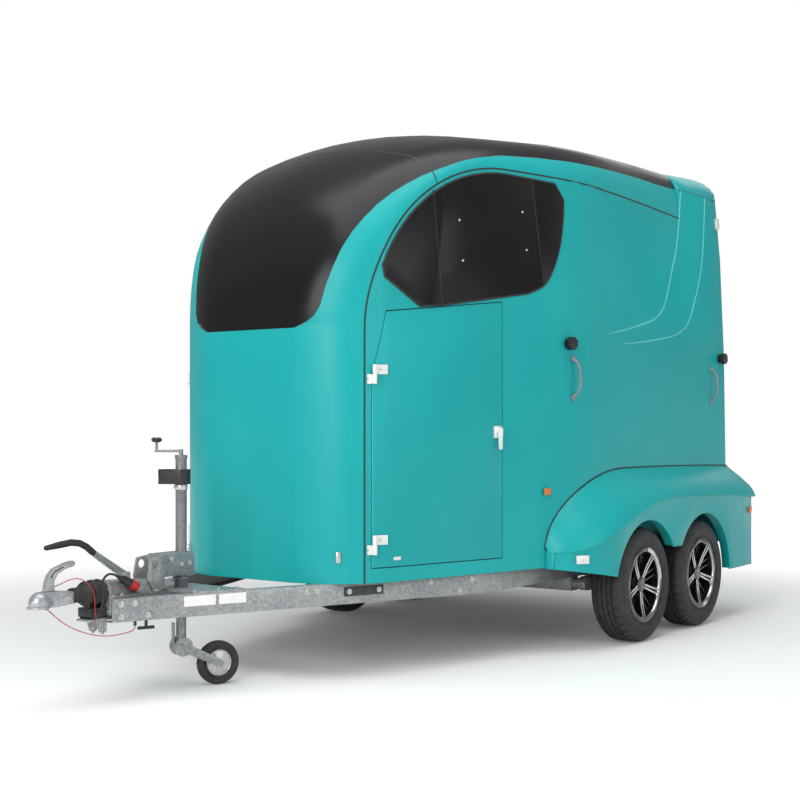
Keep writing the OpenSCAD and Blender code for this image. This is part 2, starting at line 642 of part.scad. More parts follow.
// Profile points: distance from the axis, and distance outward from the tyre's middle
module tyre_solid() {
  b = tyre_w / 2;
  side = [[rim_seat + sit, lip_z - sit], [rim_d / 2 + 2, lip_z + 2 - sit], [rim_d / 2 + 14, b - 5],
    [mix(rim_seat, tyre_r, 0.5), b], [tyre_r - 34, b - 3], [tyre_r - 16, b - 14], [tyre_r - 4, b - 30],
    [tyre_r, b - 52]];
  rotate([-90, 0, 0]) rotate_extrude($fn = 96)
    polygon(concat(side, turned([for (p = side) [p[0], -p[1]]])));
}
module tyre(x, s) {
  color(rubber) translate([x, s * track / 2, tyre_r]) tyre_solid();
}
module tyre_fl() tyre(axle_gap / 2, 1);
module tyre_fr() tyre(axle_gap / 2, -1);
module tyre_rl() tyre(-axle_gap / 2, 1);
module tyre_rr() tyre(-axle_gap / 2, -1);

spokes = 5;
// Side view of a bright spoke and of a dark one: distance from the axis, distance outward
spoke_side = [[34, 62], [120, 70], [rim_seat - 6, 83], [rim_seat - 6, 52], [130, 40], [34, 30]];
dark_side = [[60, 40], [rim_seat - 8, 58], [rim_seat - 8, 40], [60, 24]];
module spoke(side, w, at, turn) {
  rotate([0, 0, at]) translate([0, turn * 7, 0]) rotate([0, 0, turn * 1.5]) translate([0, w / 2, 0])
    rotate([90, 0, 0]) linear_extrude(w) polygon(side);
}
module rim_solid() {
  face = tyre_w / 2 - 8;
  rotate([-90, 0, 0]) difference() {
    union() {
      rotate_extrude($fn = 96) polygon([
        [rim_seat, -face + 8], [rim_d / 2, -face + 6], [rim_d / 2, -face], [rim_seat - 8, -face],
        [rim_seat - 14, -face + 14], [rim_seat - 14, face - 20], [rim_seat - 8, face],
        [rim_d / 2, face], [rim_d / 2, face - 6], [rim_seat, face - 8]]);
      translate([0, 0, -112]) cylinder(r = 124, h = 120);
      translate([0, 0, 7]) cylinder(r = 70, h = 40);
      translate([0, 0, 40]) cylinder(r = 43, h = 24);
      for (i = [0 : spokes - 1]) let (a = i * 360 / spokes + 18) {
        for (k = [-1, 1]) spoke(spoke_side, 11, a, k);
        for (k = [-1, 1]) spoke(dark_side, 8, a + 180 / spokes, k * 1.6);
      }
    }
    translate([0, 0, -120]) cylinder(r = stub_d / 2 + run, h = 176);
    for (i = [0 : 4]) rotate([0, 0, i * 72 + 54]) translate([56, 0, 36]) cylinder(d = 20, h = 30);
  }
}
module rim(x, s) {
  color(grey) translate([x, s * track / 2, tyre_r]) on_side(s) rim_solid();
}
module rim_fl() rim(axle_gap / 2, 1);
module rim_fr() rim(axle_gap / 2, -1);
module rim_rl() rim(-axle_gap / 2, 1);
module rim_rr() rim(-axle_gap / 2, -1);

module floor() {
  half = concat([for (j = [side_cols : -1 : 0]) let (p = grid_pt(0, j, wall_t + 1, 0)) [p[0], p[1]]],
    [for (p = plan_half(wall_t + sit)) if (p[0] > -rear_x && p[0] < arch_x + arch_r - 40) p],
    [[-rear_x + 82, in_y]]);
  color("#6b5a48") translate([0, 0, sill_z]) linear_extrude(30) difference() {
    polygon(concat(half, turned([for (p = half) [p[0], -p[1]]])));
    for (s = [-1, 1])
      translate([-well_x - well_t - sit, s > 0 ? well_y - well_t - sit : -half_w - well_y + well_t + sit])
        square([2 * (well_x + well_t + sit), half_w]);
  }
}

// Mudguard: a skin that rolls out from the body to a ledge, and a side panel set in
// below the ledge. The ring of points of one station runs round the skin.
guard_steps = 20;
function guard_x(i) = mix(guard_x1 - 4, -guard_x0, pow(i / guard_steps, 1.35));
function guard_in(x) = plan_y(x) + sit + (x > blend_x - 120 && x < blend_x + 500 ? 1 : 0);
bow_x = 650;
function guard_out(x) = x > bow_x
  ? mix(guard_in(x), guard_w / 2, sqrt(1 - pow((x - bow_x) / (guard_x1 - bow_x), 2))) : guard_w / 2;
function guard_top(x) = x > 318
  ? 533 + 424 * sqrt(1 - pow((x - 318) / (guard_x1 - 318), 2)) : 957 - 20 * pow((318 - x) / 1443, 2);
function guard_edge(x) = x > 60
  ? 532 + 253 * (1 - cos(180 * pow((guard_x1 - x) / (guard_x1 - 60), 0.8))) / 2
  : 785 - 43 * pow((60 - x) / 1185, 2);
function guard_low(x) = x > 0 ? max(385, 450 - 0.164 * (guard_x1 - x)) : 310;
// Depth of the ledge, growing to a wedge at the rear
function guard_ledge(x) = min(10, (guard_out(x) - guard_in(x)) / 6) + 16 * pow(max(0, -x - 500) / 625, 2);
// Roll of the skin from body to ledge: share of the width, share of the height
guard_roll = [[0, 0], [0.16, 0.13], [0.41, 0.31], [0.6, 0.46], [0.8, 0.63], [0.92, 0.78], [1, 0.95]];
function guard_ring(x) = let (a = guard_in(x), b = guard_out(x), t = guard_top(x), e = guard_edge(x),
    l = guard_low(x), k = guard_t, q = b - guard_ledge(x))
  concat([for (g = guard_roll) [x, mix(a, b, g[0]), mix(t, e, g[1])]],
    [[x, b, e], [x, q, e - 3], [x, q, l], [x, q - k, l], [x, q - k, e - 3]],
    [for (i = [5 : -1 : 0]) let (g = guard_roll[i]) [x, mix(a, q - k, g[0]), mix(t, e - 3, g[1]) - k]]);
// Outer face of the side panel between two stations
function guard_side(x) = guard_out(x) - guard_ledge(x);
module guard_plate(x, ring) {
  translate([x, 0, 0]) rotate([90, 0, 90]) linear_extrude(guard_t) polygon(ring);
}
module guard() {
  m = len(guard_ring(0));
  h = len(guard_roll);
  pts = [for (i = [0 : guard_steps]) each guard_ring(guard_x(i))];
  // Strip of triangles across the skin's own section
  cap = concat([for (i = [0 : h - 3]) each [[i, m - 1 - i, i + 1], [i + 1, m - 1 - i, m - 2 - i]]],
    [[h - 2, h + 5, h - 1], [h - 1, h + 5, h + 4], [h - 1, h + 4, h], [h, h + 4, h + 1],
     [h + 1, h + 4, h + 3], [h + 1, h + 3, h + 2]]);
  faces = concat([for (i = [0 : guard_steps - 1]) for (j = [0 : m - 1])
      let (a = i * m + j, b = i * m + (j + 1) % m)
      each [[a, a + m, b], [b, a + m, b + m]]],
    [for (f = cap) turned(f)], [for (f = cap) f + guard_steps * m * [1, 1, 1]]);
  front = guard_x(0) - guard_t - sit;
  rear = guard_ring(-guard_x0);
  color(teal) {
    difference() {
      polyhedron(points = pts, faces = faces, convexity = 8);
      for (s = [-1, 1]) translate([s * axle_gap / 2, guard_w, tyre_r - 18]) rotate([90, 0, 0])
        cylinder(r = arch_cut_r, h = guard_w);
      box(-200, 200, half_w + 20, guard_w, 200, 505);
    }
    // Lip round each arch
    for (s = [-1, 1]) intersection() {
      translate([s * axle_gap / 2, guard_w / 2 - 16, tyre_r - 18]) rotate([90, 0, 0]) difference() {
        cylinder(r = arch_cut_r + guard_t, h = 48);
        translate([0, 0, -1]) cylinder(r = arch_cut_r + 0.5, h = 50);
      }
      box(min(s * 198, s * 900), max(s * 198, s * 900), 1000, 1200, s > 0 ? 400 : 316, 900);
    }
    for (s = [-1, 1]) intersection() {
      translate([s * axle_gap / 2, guard_w / 2 - 16, tyre_r - 18]) rotate([90, 0, 0]) difference() {
        cylinder(r = arch_cut_r + guard_t, h = 48);
        translate([0, 0, -1]) cylinder(r = arch_cut_r + 0.5, h = 50);
      }
      box(-199, 199, 1000, 1200, 512, 900);
    }
    // Plates that close the front and the rear end
    let (x = front, a = guard_in(x) + 1, q = guard_side(x) - 1, z = guard_low(x) + 1, e = guard_edge(x))
      guard_plate(x, [[a, z], [q, z], [q, e + 2], [a, e + 10]]);
    guard_plate(-guard_x0 + sit,
      concat([for (i = [0 : h - 1]) [rear[i][1] + (i == 0 ? 1 : -1), rear[i][2] - 2]],
        [[rear[h + 1][1] - 1, rear[h + 1][2]], [rear[h + 2][1] - 1, rear[h + 2][2] + 1],
         [rear[0][1] + 1, rear[h + 2][2] + 1]]));
  }
}
module mudguard_left() guard();
module mudguard_right() mirror([0, 1, 0]) guard();

// Overrun device: a case on the drawbar with the coupling shaft in it, and a damper
// box below with the lugs that hold the breakaway cable
// Lower face of the eye that takes the cable
eye = [3196, 92, 336];
module overrun_housing() {
  y = bar_y - 4;
  color(zinc) difference() {
    union() {
      box(bar_x - 290, bar_x + 10, -y, y, sill_z + sit, sill_z + 12);
      along_y(-40, 40) polygon([[bar_x - 300, sill_z + 11], [bar_x + 10, sill_z + 11],
        [bar_x + 10, shaft_z + 44], [bar_x - 70, shaft_z + 44], [bar_x - 250, shaft_z + 34], [bar_x - 300, shaft_z + 12]]);
      along_x(bar_x + sit, bar_x + 10) polygon([[-y, 388], [y, 388], [y, shaft_z + 20], [44, shaft_z + 52],
        [-44, shaft_z + 52], [-y, shaft_z + 20]]);
      // Link down to the brake rod
      box(brake_x1, brake_x1 + 12, brake_y - 8, brake_y + 8, brake_z - 12, sill_z + 1);
      // Ear that carries the lever
      along_y(-56, -39) polygon([[bar_x - 205, sill_z + 11], [bar_x - 130, sill_z + 11],
        [bar_x - 160, sill_z + 96], [bar_x - 196, sill_z + 96]]);
    }
    translate([bar_x - 310, 0, shaft_z]) rotate([0, 90, 0]) cylinder(d = 46, h = 400);
  }
  // Parking socket for the plug, and the eye that takes the breakaway cable
  color(zinc) intersection() {
    at_plug() translate([0, 0, -34]) cylinder(d = 40, h = 34 - sit);
    box(3000, 3300, 40, 100, sill_z + sit, 600);
  }
  color(black) translate([eye[0], eye[1], eye[2]]) cylinder(d = 14, h = sill_z - rail_h - sit - eye[2]);
  color(black) along_y(-40, 40) polygon([[bar_x + 9, 376], [bar_x + 84, 376], [bar_x + 98, 388],
    [bar_x + 98, 424], [bar_x + 9, 424]]);
  color(zinc) difference() {
    union() {
      box(bar_x - 16, bar_x + 104, -44, 44, 368, 377);
      for (k = [-34, 26]) along_y(k, k + 8) polygon([[bar_x + 2, 369], [bar_x + 60, 369], [bar_x + 44, 322],
        [bar_x + 24, 306], [bar_x + 4, 322]]);
    }
    translate([bar_x + 24, 60, 326]) rotate([90, 0, 0]) cylinder(d = 12, h = 120);
  }
}
// Folds of the boot: distance from the plate, radius
boot = [[0, 50], [6, 56], [14, 58], [24, 50], [32, 47], [40, 55], [50, 58], [60, 52], [68, 45], [76, 51],
  [86, 54], [96, 48], [104, 38], [116, 34], [134, 32], [160, 32]];
module bellows() {
  color(rubber) translate([bar_x + 10 + sit, 0, shaft_z]) rotate([0, 90, 0]) rotate_extrude()
    polygon(concat(turned([for (p = boot) [p[1], p[0]]]), [[24, 0], [24, 160]]));
}
ball_x = 3640;
ball_d = 50.5;
head_z = shaft_z - 36;
module coupling_head() {
  color(zinc) {
    translate([bar_x - 250, 0, shaft_z]) rotate([0, 90, 0]) cylinder(d = 45, h = 440);
    difference() {
      union() {
        // Forged shank with flat cheeks
        along_y(-24, 24) polygon([[3474, shaft_z - 30], [3474, shaft_z + 20], [3530, shaft_z + 26],
          [3600, shaft_z + 30], [3640, shaft_z + 28], [3640, head_z], [3520, head_z + 2]]);
        hull() {
          translate([ball_x - 4, 0, shaft_z - 12]) sphere(d = 86, $fn = 36);
          translate([tip_x - 16, 0, shaft_z - 20]) sphere(d = 32, $fn = 24);
          translate([ball_x - 40, 0, shaft_z - 14]) sphere(d = 62, $fn = 24);
        }
        translate([ball_x, 0, head_z]) cylinder(d = 88, h = 9);
        along_y(-20, 20) polygon([[3540, head_z], [tip_x, head_z], [tip_x, head_z + 9], [3540, head_z + 9]]);
      }
      translate([ball_x, 0, shaft_z - 16]) sphere(d = ball_d + 1);
      translate([ball_x, 0, head_z - 30]) cylinder(d = ball_d, h = 50);
      box(3400, 3800, -100, 100, head_z - 60, head_z);
    }
    for (x = [3500, 3545]) translate([x, 32, shaft_z - 4]) rotate([90, 0, 0]) cylinder(d = 18, h = 64, $fn = 6);
  }
}
module coupling_lever() {
  // Curved lever with a slot through its grip
  color(grey) along_y(-13, 13) difference() {
    polygon([[3600, shaft_z + 30.3], [3612, shaft_z + 29.8], [3606, shaft_z + 62], [3592, shaft_z + 96], [3566, shaft_z + 122],
      [3500, shaft_z + 142], [3464, shaft_z + 148], [3456, shaft_z + 136], [3466, shaft_z + 124],
      [3508, shaft_z + 116], [3548, shaft_z + 98], [3566, shaft_z + 72], [3568, shaft_z + 50],
      [3562, shaft_z + 28.2]]);
    polygon([[3580, shaft_z + 84], [3562, shaft_z + 106], [3516, shaft_z + 124], [3522, shaft_z + 128],
      [3566, shaft_z + 113], [3588, shaft_z + 90]]);
  }
}
// Handbrake: a flat bar, then a bent rubber grip
module handbrake() {
  y = -56 - sit;
  lever = [[3122, sill_z + 82], [3310, sill_z + 200]];
  grip = [[3300, sill_z + 196], [3334, sill_z + 222], [3372, sill_z + 240], [3420, sill_z + 246],
    [3480, sill_z + 240], [3550, sill_z + 232]];
  color(zinc) translate([0, y, 0]) {
    rotate([90, 0, 0]) linear_extrude(10) polygon([lever[0] + [4, -16], lever[1] + [8, -10],
      lever[1] + [-8, 12], lever[0] + [-14, 14], lever[0] + [-18, -6]]);
  }
  color(rubber) translate([0, y - 5, 0]) for (i = [0 : len(grip) - 2]) hull() for (k = [0, 1])
    translate([grip[i + k][0], 0, grip[i + k][1]]) sphere(d = i + k == 5 ? 22 : 30, $fn = 20);
}

// Direction of the crank, seen from above
crank_turn = -53.5;
module jockey_tube() {
  color(zinc) translate([jockey_x, 0, 0]) difference() {
    union() {
      translate([0, 0, 500]) cylinder(d = jockey_d, h = 560);
      translate([0, 0, sill_z + 8 + sit]) cylinder(d = jockey_d + 8, h = 40);
      translate([0, 0, 498]) cylinder(d = jockey_d + 26, h = 10);
      translate([0, 0, 1046]) cylinder(d = jockey_d + 6, h = 18);
      translate([0, 0, 1060]) cylinder(d = 20, h = 30);
      rotate([0, 0, crank_turn]) {
        translate([0, -8, 1076]) cube([120, 16, 12]);
        translate([112, 0, 1076]) cylinder(d = 12, h = 60);
      }
    }
    translate([0, 0, 400]) cylinder(r = jockey_d / 2 - 3 + run, h = 300);
  }
  color(black) translate([jockey_x, 0, 0]) rotate([0, 0, crank_turn]) {
    translate([112, 0, 1122]) rotate_extrude()
      polygon([[0, 0], [16, 0], [24, 7], [24, 15], [16, 22], [0, 22]]);
    // Grip for moving the trailer by hand
    difference() {
      translate([0, 0, 931]) linear_extrude(68) hull() {
        circle(d = jockey_d + 34);
        translate([84, 0]) circle(d = 42);
      }
      translate([0, 0, 900]) cylinder(d = jockey_d - 1, h = 150);
      translate([64, 0, 900]) cylinder(d = 26, h = 150);
    }
  }
}
wheel_x = jockey_x + jockey_trail * cos(jockey_turn);
wheel_y = jockey_trail * sin(jockey_turn);
jockey_r = jockey_wheel_d / 2;
module at_jockey_wheel() {
  translate([wheel_x, wheel_y, jockey_r]) rotate([0, 0, jockey_turn - 180]) children();
}
module jockey_fork() {
  w = jockey_wheel_w / 2 + 4;
  color(zinc) {
    translate([jockey_x, 0, 200]) cylinder(r = jockey_d / 2 - 3, h = 492);
    translate([jockey_x, 0, 0]) rotate([0, 0, jockey_turn]) {
      // Head between the cheeks, with a latch finger beside the tube
      translate([-34, -w - 1, 176]) cube([60, 2 * w + 2, 34]);
      translate([-44, -7, 200]) cube([12, 14, 100]);
      translate([-44, -7, 200]) cube([30, 14, 9]);
    }
    at_jockey_wheel() {
      for (s = [-1, 1]) difference() {
        union() {
          hull() {
            translate([0, s * (w + 3) + 3, 0]) rotate([90, 0, 0]) cylinder(d = 34, h = 6);
            translate([jockey_trail, s * (w + 3) + 3, 188 - jockey_r]) rotate([90, 0, 0])
              cylinder(d = 44, h = 6);
          }
          translate([jockey_trail, s * (w + 3) + 3, 190 - jockey_r]) rotate([90, 0, 0]) cylinder(d = 88, h = 6);
        }
        translate([0, 60, 0]) rotate([90, 0, 0]) cylinder(d = 11.9, h = 120);
      }
      translate([0, w + 8, 0]) rotate([90, 0, 0]) cylinder(d = 12, h = 2 * w + 16);
      for (s = [-1, 1]) translate([jockey_trail, s * (w + 8) + 3, 190 - jockey_r]) rotate([90, 0, 0])
        cylinder(d = 26, h = 6);
    }
  }
}
module jockey_rim() {
  color(zinc) at_jockey_wheel() rotate([90, 0, 0]) difference() {
    union() {
      translate([0, 0, -25]) cylinder(r = 17, h = 50);
      translate([0, 0, -16]) cylinder(r = 62, h = 32);
    }
    translate([0, 0, -40]) cylinder(r = 6 + run, h = 80);
  }
}
module jockey_tyre() {
  color(rubber) at_jockey_wheel() tyre_jockey();
}
module tyre_jockey() {
  b = jockey_wheel_w / 2;
  rotate([-90, 0, 0]) rotate_extrude() polygon([[62 + sit, -b + 4], [jockey_r - 14, -b],
    [jockey_r - 3, -b + 8], [jockey_r, 0], [jockey_r - 3, b - 8], [jockey_r - 14, b], [62 + sit, b - 4]]);
}

module partition() {
  z = sill_z + 30 + sit;
  color(grey) {
    box(-780, 1180, -15, 15, z + 250, z + 1150);
    for (x = [-780, 1140]) box(x, x + 40, -20, 20, z, z + 1900);
    for (x = [-760, 1160]) let (y = plan_y(x + 25, wall_t) - sit)
      translate([x, y, z + 850]) rotate([90, 0, 0]) cylinder(d = 50, h = 2 * y);
  }
}

// Bow of a grab handle: distance outward, height above its lower foot, thickness
handle_h = 200;
bow = [[0, 0, 15], [10, 6, 13], [22, 14, 10], [34, 30, 9], [44, 60, 9], [47, 100, 9],
  [44, 140, 9], [34, 170, 9], [22, 186, 10], [10, 194, 13], [0, handle_h, 15]];
module handle_at(x, z) {
  n = 10;
  m = len(bow);
  y = plan_y(x - 16) + sit;
  pts = [for (i = [0 : m - 1]) let (a = bow[max(i - 1, 0)], b = bow[min(i + 1, m - 1)],
      d = i == 0 || i == m - 1 ? [1, 0] * (i == 0 ? 1 : -1) : unit2([b[0] - a[0], b[1] - a[1]]), r = bow[i][2])
    for (k = [0 : n - 1]) let (u = r * cos(360 * k / n), v = r * 0.75 * sin(360 * k / n))
      [x + u, y + bow[i][0] - d[1] * v, z + bow[i][1] + d[0] * v]];
  faces = concat([for (i = [0 : m - 2]) for (k = [0 : n - 1])
      let (a = i * n + k, b = i * n + (k + 1) % n) each [[a, b, b + n], [a, b + n, a + n]]],
    [[for (k = [0 : n - 1]) n - 1 - k]], [[for (k = [0 : n - 1]) (m - 1) * n + k]]);
  polyhedron(points = pts, faces = faces, convexity = 6);
}
handle_places = [[868, 1350], [-868, 1350]];
module handles() {
  color(grey) both() for (p = handle_places) handle_at(p[0], p[1]);
}
knob_d = 70;
module knobs() {
  color(black) both() for (p = [[909, 1631], [-1000, 1623]])
    translate([p[0], plan_y(p[0]) + sit, p[1]])
    rotate([0, 0, -atan2(plan_y(p[0] - 20) - plan_y(p[0] + 20), 40)]) rotate([-90, 0, 0]) {
      cylinder(d = knob_d - 14, h = 8);
      cylinder(d = 26, h = 24);
      difference() {
        translate([0, 0, 18]) cylinder(d = knob_d, h = 28);
        for (i = [0 : 7]) rotate([0, 0, i * 45]) translate([knob_d / 2 + 4, 0, 17]) cylinder(d = 16, h = 30);
      }
    }
}
// Rear face at height z
function rear_at(z) = lookup(z, [for (p = turned(rear_edge)) [p[1], p[0]]]);
module lamps() {
  both() {
    color("#d8740f") box(1046, 1098, plan_y(1046) + sit, plan_y(1046) + 13, 836, 870);
    // Marker at the top of the body's rear corner
    color("#d8d8d8") translate([rear_at(2480) + 18, half_w + sit, 2480]) rotate([0, 7, 0]) rotate([-90, 0, 0])
      intersection() {
        cylinder(d = 74, h = 14);
        translate([-22, -40, 0]) cube([44, 80, 14]);
      }
    color("#c01515") along_y(open_y + 12, in_y - 8)
      polygon([for (p = [[0, 1180], [0, 1500], [-18, 1490], [-18, 1190]])
        [rear_at(p[1]) + 1 - sit + p[0], p[1]]]);
    color("#e8e8e6") translate([980, guard_side(980), 500])
      rotate([0, 0, atan2(guard_side(1010) - guard_side(950), 60)]) translate([-35, sit, -22])
        cube([70, 14, 44]);
    color("#d8740f") box(-1105, -1060, guard_side(-1060) + sit, guard_side(-1060) + 10, 640, 676);
  }
}
// The plug in its parking socket
module at_plug() translate([3162, 64, 497]) rotate([0, 63.3, 0]) children();
module plug() {
  color("#b32224") at_plug() cylinder(d = 44, h = 42);
  color(black) at_plug() {
    translate([0, 0, 41]) cylinder(d = 38, h = 46);
    translate([0, 0, 84]) cylinder(d = 24, h = 20);
    translate([0, 0, 102]) cylinder(d = 16, h = 17.5);
  }
}
function tube_ring(p, d, r, n) = let (u = unit3(d),
    v = unit3(cross(u, abs(u[2]) > 0.9 ? [1, 0, 0] : [0, 0, 1])), w = cross(u, v)) [for (k = [0 : n - 1]) p + r * (v * cos(360 * k / n) + w * sin(360 * k / n))];
function unit3(v) = v / norm(v);
module sweep(path, r, n) {
  m = len(path);
  pts = [for (i = [0 : m - 1])
    each tube_ring(path[i], path[min(i + 1, m - 1)] - path[max(i - 1, 0)], r, n)];
  faces = concat([for (i = [0 : m - 2]) for (k = [0 : n - 1])
      let (a = i * n + k, b = i * n + (k + 1) % n) each [[a, b + n, b], [a, a + n, b + n]]],
    [[for (k = [0 : n - 1]) k]], [[for (k = [0 : n - 1]) m * n - 1 - k]]);
  polyhedron(points = pts, faces = faces, convexity = 6);
}
// Places along the lead and along the breakaway cable
lead_path = [[3269, 64, 551], [3287, 64, 560], [3312, 65, 566], [3335, 67, 561], [3354, 70, 546],
  [3363, 74, 530], [3367, 79, 511], [3370, 84, 483], [3373, 86, 453], [3373, 83, 438], [3373, 74, 425],
  [3373, 61, 416], [3373, 46, 413], [3373, 40.3, 413]];
cable_path = [[3196, 92, 335.7], [3196, 92, 328], [3203, 93, 319], [3222, 94, 313], [3270, 92, 308],
  [3330, 88, 307], [3390, 78, 314], [3445, 66, 330], [3500, 52, 354], [3545, 36, 384], [3575, 20, 414],
  [3588, 2, 434], [3592, -18, 440], [3588, -33, 452], [3578, -38, 476], [3565, -36, 506], [3554, -24, 524],
  [3546, -4, 532], [3532, 14, 542], [3510, 28, 554], [3480, 40, 560], [3450, 48, 552], [3425, 56, 534],
  [3407, 62, 508], [3398, 64, 482], [3394, 62, 456], [3391, 60, 430], [3388, 60, 404], [3386, 60, 388],
  [3385, 57, 376], [3385, 51, 372.5], [3385, 44.3, 372.5]];
module lead() color(rubber) sweep(lead_path, 5, 8);
module breakaway() color("#a01818") sweep(cable_path, 2, 8);

// The middle of the finished trailer, from coupling tip to mudguards, is X = 0
module placed() translate([-mid_x, 0, 0]) children();

placed() rail_left();
placed() rail_right();
placed() cross_frame();
placed() axle_front();
placed() axle_rear();
placed() overrun_housing();
placed() bellows();
placed() coupling_head();
placed() coupling_lever();
placed() handbrake();
placed() jockey_tube();
placed() jockey_fork();
placed() jockey_rim();
placed() jockey_tyre();
placed() tyre_fl();
placed() tyre_fr();
placed() tyre_rl();
placed() tyre_rr();
placed() rim_fl();
placed() rim_fr();
placed() rim_rl();
placed() rim_rr();
placed() floor();
placed() nose_shell();
placed() roof_dome();
placed() side_left();
placed() side_right();
placed() window_left();
placed() window_right();
placed() door_left();
placed() door_right();
placed() hinges();
placed() rear_hood();
placed() rear_frame();
placed() ramp();
placed() top_flap();
placed() mudguard_left();
placed() mudguard_right();
placed() partition();
placed() handles();
placed() knobs();
placed() lamps();
placed() plug();
placed() lead();
placed() breakaway();
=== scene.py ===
import math

import bmesh
import bpy
from mathutils import Matrix, Vector


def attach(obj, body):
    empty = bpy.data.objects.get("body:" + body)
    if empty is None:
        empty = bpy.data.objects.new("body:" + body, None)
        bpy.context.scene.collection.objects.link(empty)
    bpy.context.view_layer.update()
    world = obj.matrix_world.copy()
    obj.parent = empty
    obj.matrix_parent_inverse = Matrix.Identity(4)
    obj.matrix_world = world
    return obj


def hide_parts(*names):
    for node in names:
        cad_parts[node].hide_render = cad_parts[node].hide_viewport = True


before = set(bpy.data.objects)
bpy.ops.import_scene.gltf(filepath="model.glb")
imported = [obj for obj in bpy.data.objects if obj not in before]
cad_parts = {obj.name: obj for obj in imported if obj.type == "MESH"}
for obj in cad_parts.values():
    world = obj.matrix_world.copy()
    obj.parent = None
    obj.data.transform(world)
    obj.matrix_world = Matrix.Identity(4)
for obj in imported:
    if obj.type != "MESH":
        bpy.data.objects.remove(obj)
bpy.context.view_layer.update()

# Lengths along the trailer are measured from the middle of the two axles, as on
# the drawing, and the model's middle lies this far ahead of it.
MID = 1.2805
BODY_HALF = 0.9575
AXLE_X = 0.371
TYRE_R = 0.317
TYRE_Y = 1.0275
# Middle and radius of the hoops' arch, seen from the side.
ARCH_X, ARCH_Z, ARCH_R = 1.35, 1.65, 0.85
# How far the side panes stand out from the wall.
PANE_OUT = 0.006
# The jockey tube's axis, and the heights between which its winding grip lies.
JOCKEY_X = 2.83
GRIP_LOW, GRIP_HIGH = 0.9305, 0.9995


def at(x, y, z):
    return Vector((x - MID, y, z))


def wall_y(x):
    """Half width of the body's outer face at a distance x ahead of the axles."""
    lean = math.radians(14.6)
    corner_x, corner_y, corner_r, blend_r = 1.974, 0.242, 0.4, 1.5
    blend_x = (corner_x * math.sin(lean) + corner_y * math.cos(lean) + corner_r - blend_r
               - (BODY_HALF - blend_r) * math.cos(lean)) / math.sin(lean)
    if x >= corner_x + corner_r * math.sin(lean):
        return corner_y + math.sqrt(max(0.0, corner_r ** 2 - (x - corner_x) ** 2))
    if x >= blend_x + blend_r * math.sin(lean):
        straight = corner_x + corner_r * math.sin(lean) - x
        return corner_y + corner_r * math.cos(lean) + straight * math.tan(lean)
    if x >= blend_x:
        return BODY_HALF - blend_r + math.sqrt(blend_r ** 2 - (x - blend_x) ** 2)
    return BODY_HALF


def wall_normal(x):
    """Direction straight out of the left wall at x."""
    slope = (wall_y(x + 0.005) - wall_y(x - 0.005)) / 0.01
    return Vector((-slope, 1.0, 0.0)).normalized()


def on_wall(x, z, out=0.0):
    """A place on the left wall's outer face, or a distance out from it."""
    return at(x, wall_y(x), z) + wall_normal(x) * out


# ---- camera ----

camera_data = bpy.data.cameras.new("camera")
camera = bpy.data.objects.new("camera", camera_data)
bpy.context.scene.collection.objects.link(camera)
camera.location = (5.9865, 4.523, 1.204)
camera.rotation_euler = (math.radians(90), 0.0, math.radians(126.475))
camera_data.lens = 61.55
camera_data.sensor_width = 36.0
camera_data.shift_x = 0.0005
camera_data.shift_y = 0.0304
bpy.context.scene.camera = camera


# ---- working on a piece as by hand ----

def work_on(piece):
    if bpy.context.mode != "OBJECT":
        bpy.ops.object.mode_set(mode="OBJECT")
    bpy.ops.object.select_all(action="DESELECT")
    piece.select_set(True)
    bpy.context.view_layer.objects.active = piece


def clear():
    if bpy.context.mode != "OBJECT":
        bpy.ops.object.mode_set(mode="OBJECT")
    bpy.ops.object.select_all(action="DESELECT")


def pick(piece, wanted):
    """Select, in edit mode, the faces whose centre and normal pass the test."""
    mesh = bmesh.from_edit_mesh(piece.data)
    for face in mesh.faces:
        face.select_set(bool(wanted(face.calc_center_median(), face.normal)))
    bmesh.update_edit_mesh(piece.data)


def new_piece(name, points, faces=(), edges=()):
    mesh = bpy.data.meshes.new(name)
    mesh.from_pydata([tuple(p) for p in points], list(edges), list(faces))
    piece = bpy.data.objects.new(name, mesh)
    bpy.context.scene.collection.objects.link(piece)
    return piece


def apply_all(piece):
    work_on(piece)
    for modifier in list(piece.modifiers):
        bpy.ops.object.modifier_apply(modifier=modifier.name)


def settle(piece):
    """Put the object's place into its mesh."""
    work_on(piece)
    bpy.ops.object.transform_apply(location=True, rotation=True, scale=True)


def round_edges(piece, width, steps=2, angle=32.0):
    bevel = piece.modifiers.new("edges", "BEVEL")
    bevel.width = width
    bevel.segments = steps
    bevel.limit_method = "ANGLE"
    bevel.angle_limit = math.radians(angle)
    apply_all(piece)


def smooth(piece, angle=32.0):
    work_on(piece)
    bpy.ops.object.shade_smooth_by_angle(angle=math.radians(angle))


def face_out(piece):
    work_on(piece)
    bpy.ops.object.mode_set(mode="EDIT")
    bpy.ops.mesh.select_all(action="SELECT")
    bpy.ops.mesh.remove_doubles(threshold=0.00002)
    bpy.ops.mesh.normals_make_consistent(inside=False)
    bpy.ops.object.mode_set(mode="OBJECT")


def joined(name, parts):
    clear()
    for part in parts:
        part.select_set(True)
    bpy.context.view_layer.objects.active = parts[0]
    if len(parts) > 1:
        bpy.ops.object.join()
    parts[0].name = name
    return parts[0]


def copy_moved(piece, name, move):
    twin = bpy.data.objects.new(name, piece.data.copy())
    bpy.context.scene.collection.objects.link(twin)
    twin.data.transform(move)
    if move.determinant() < 0:
        twin.data.flip_normals()
    return twin


MIRROR = Matrix.Scale(-1, 4, (0, 1, 0))


def put_on(piece, body, material=None):
    if material:
        piece.data.materials.clear()
        piece.data.materials.append(material)
    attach(piece, body)
    return piece


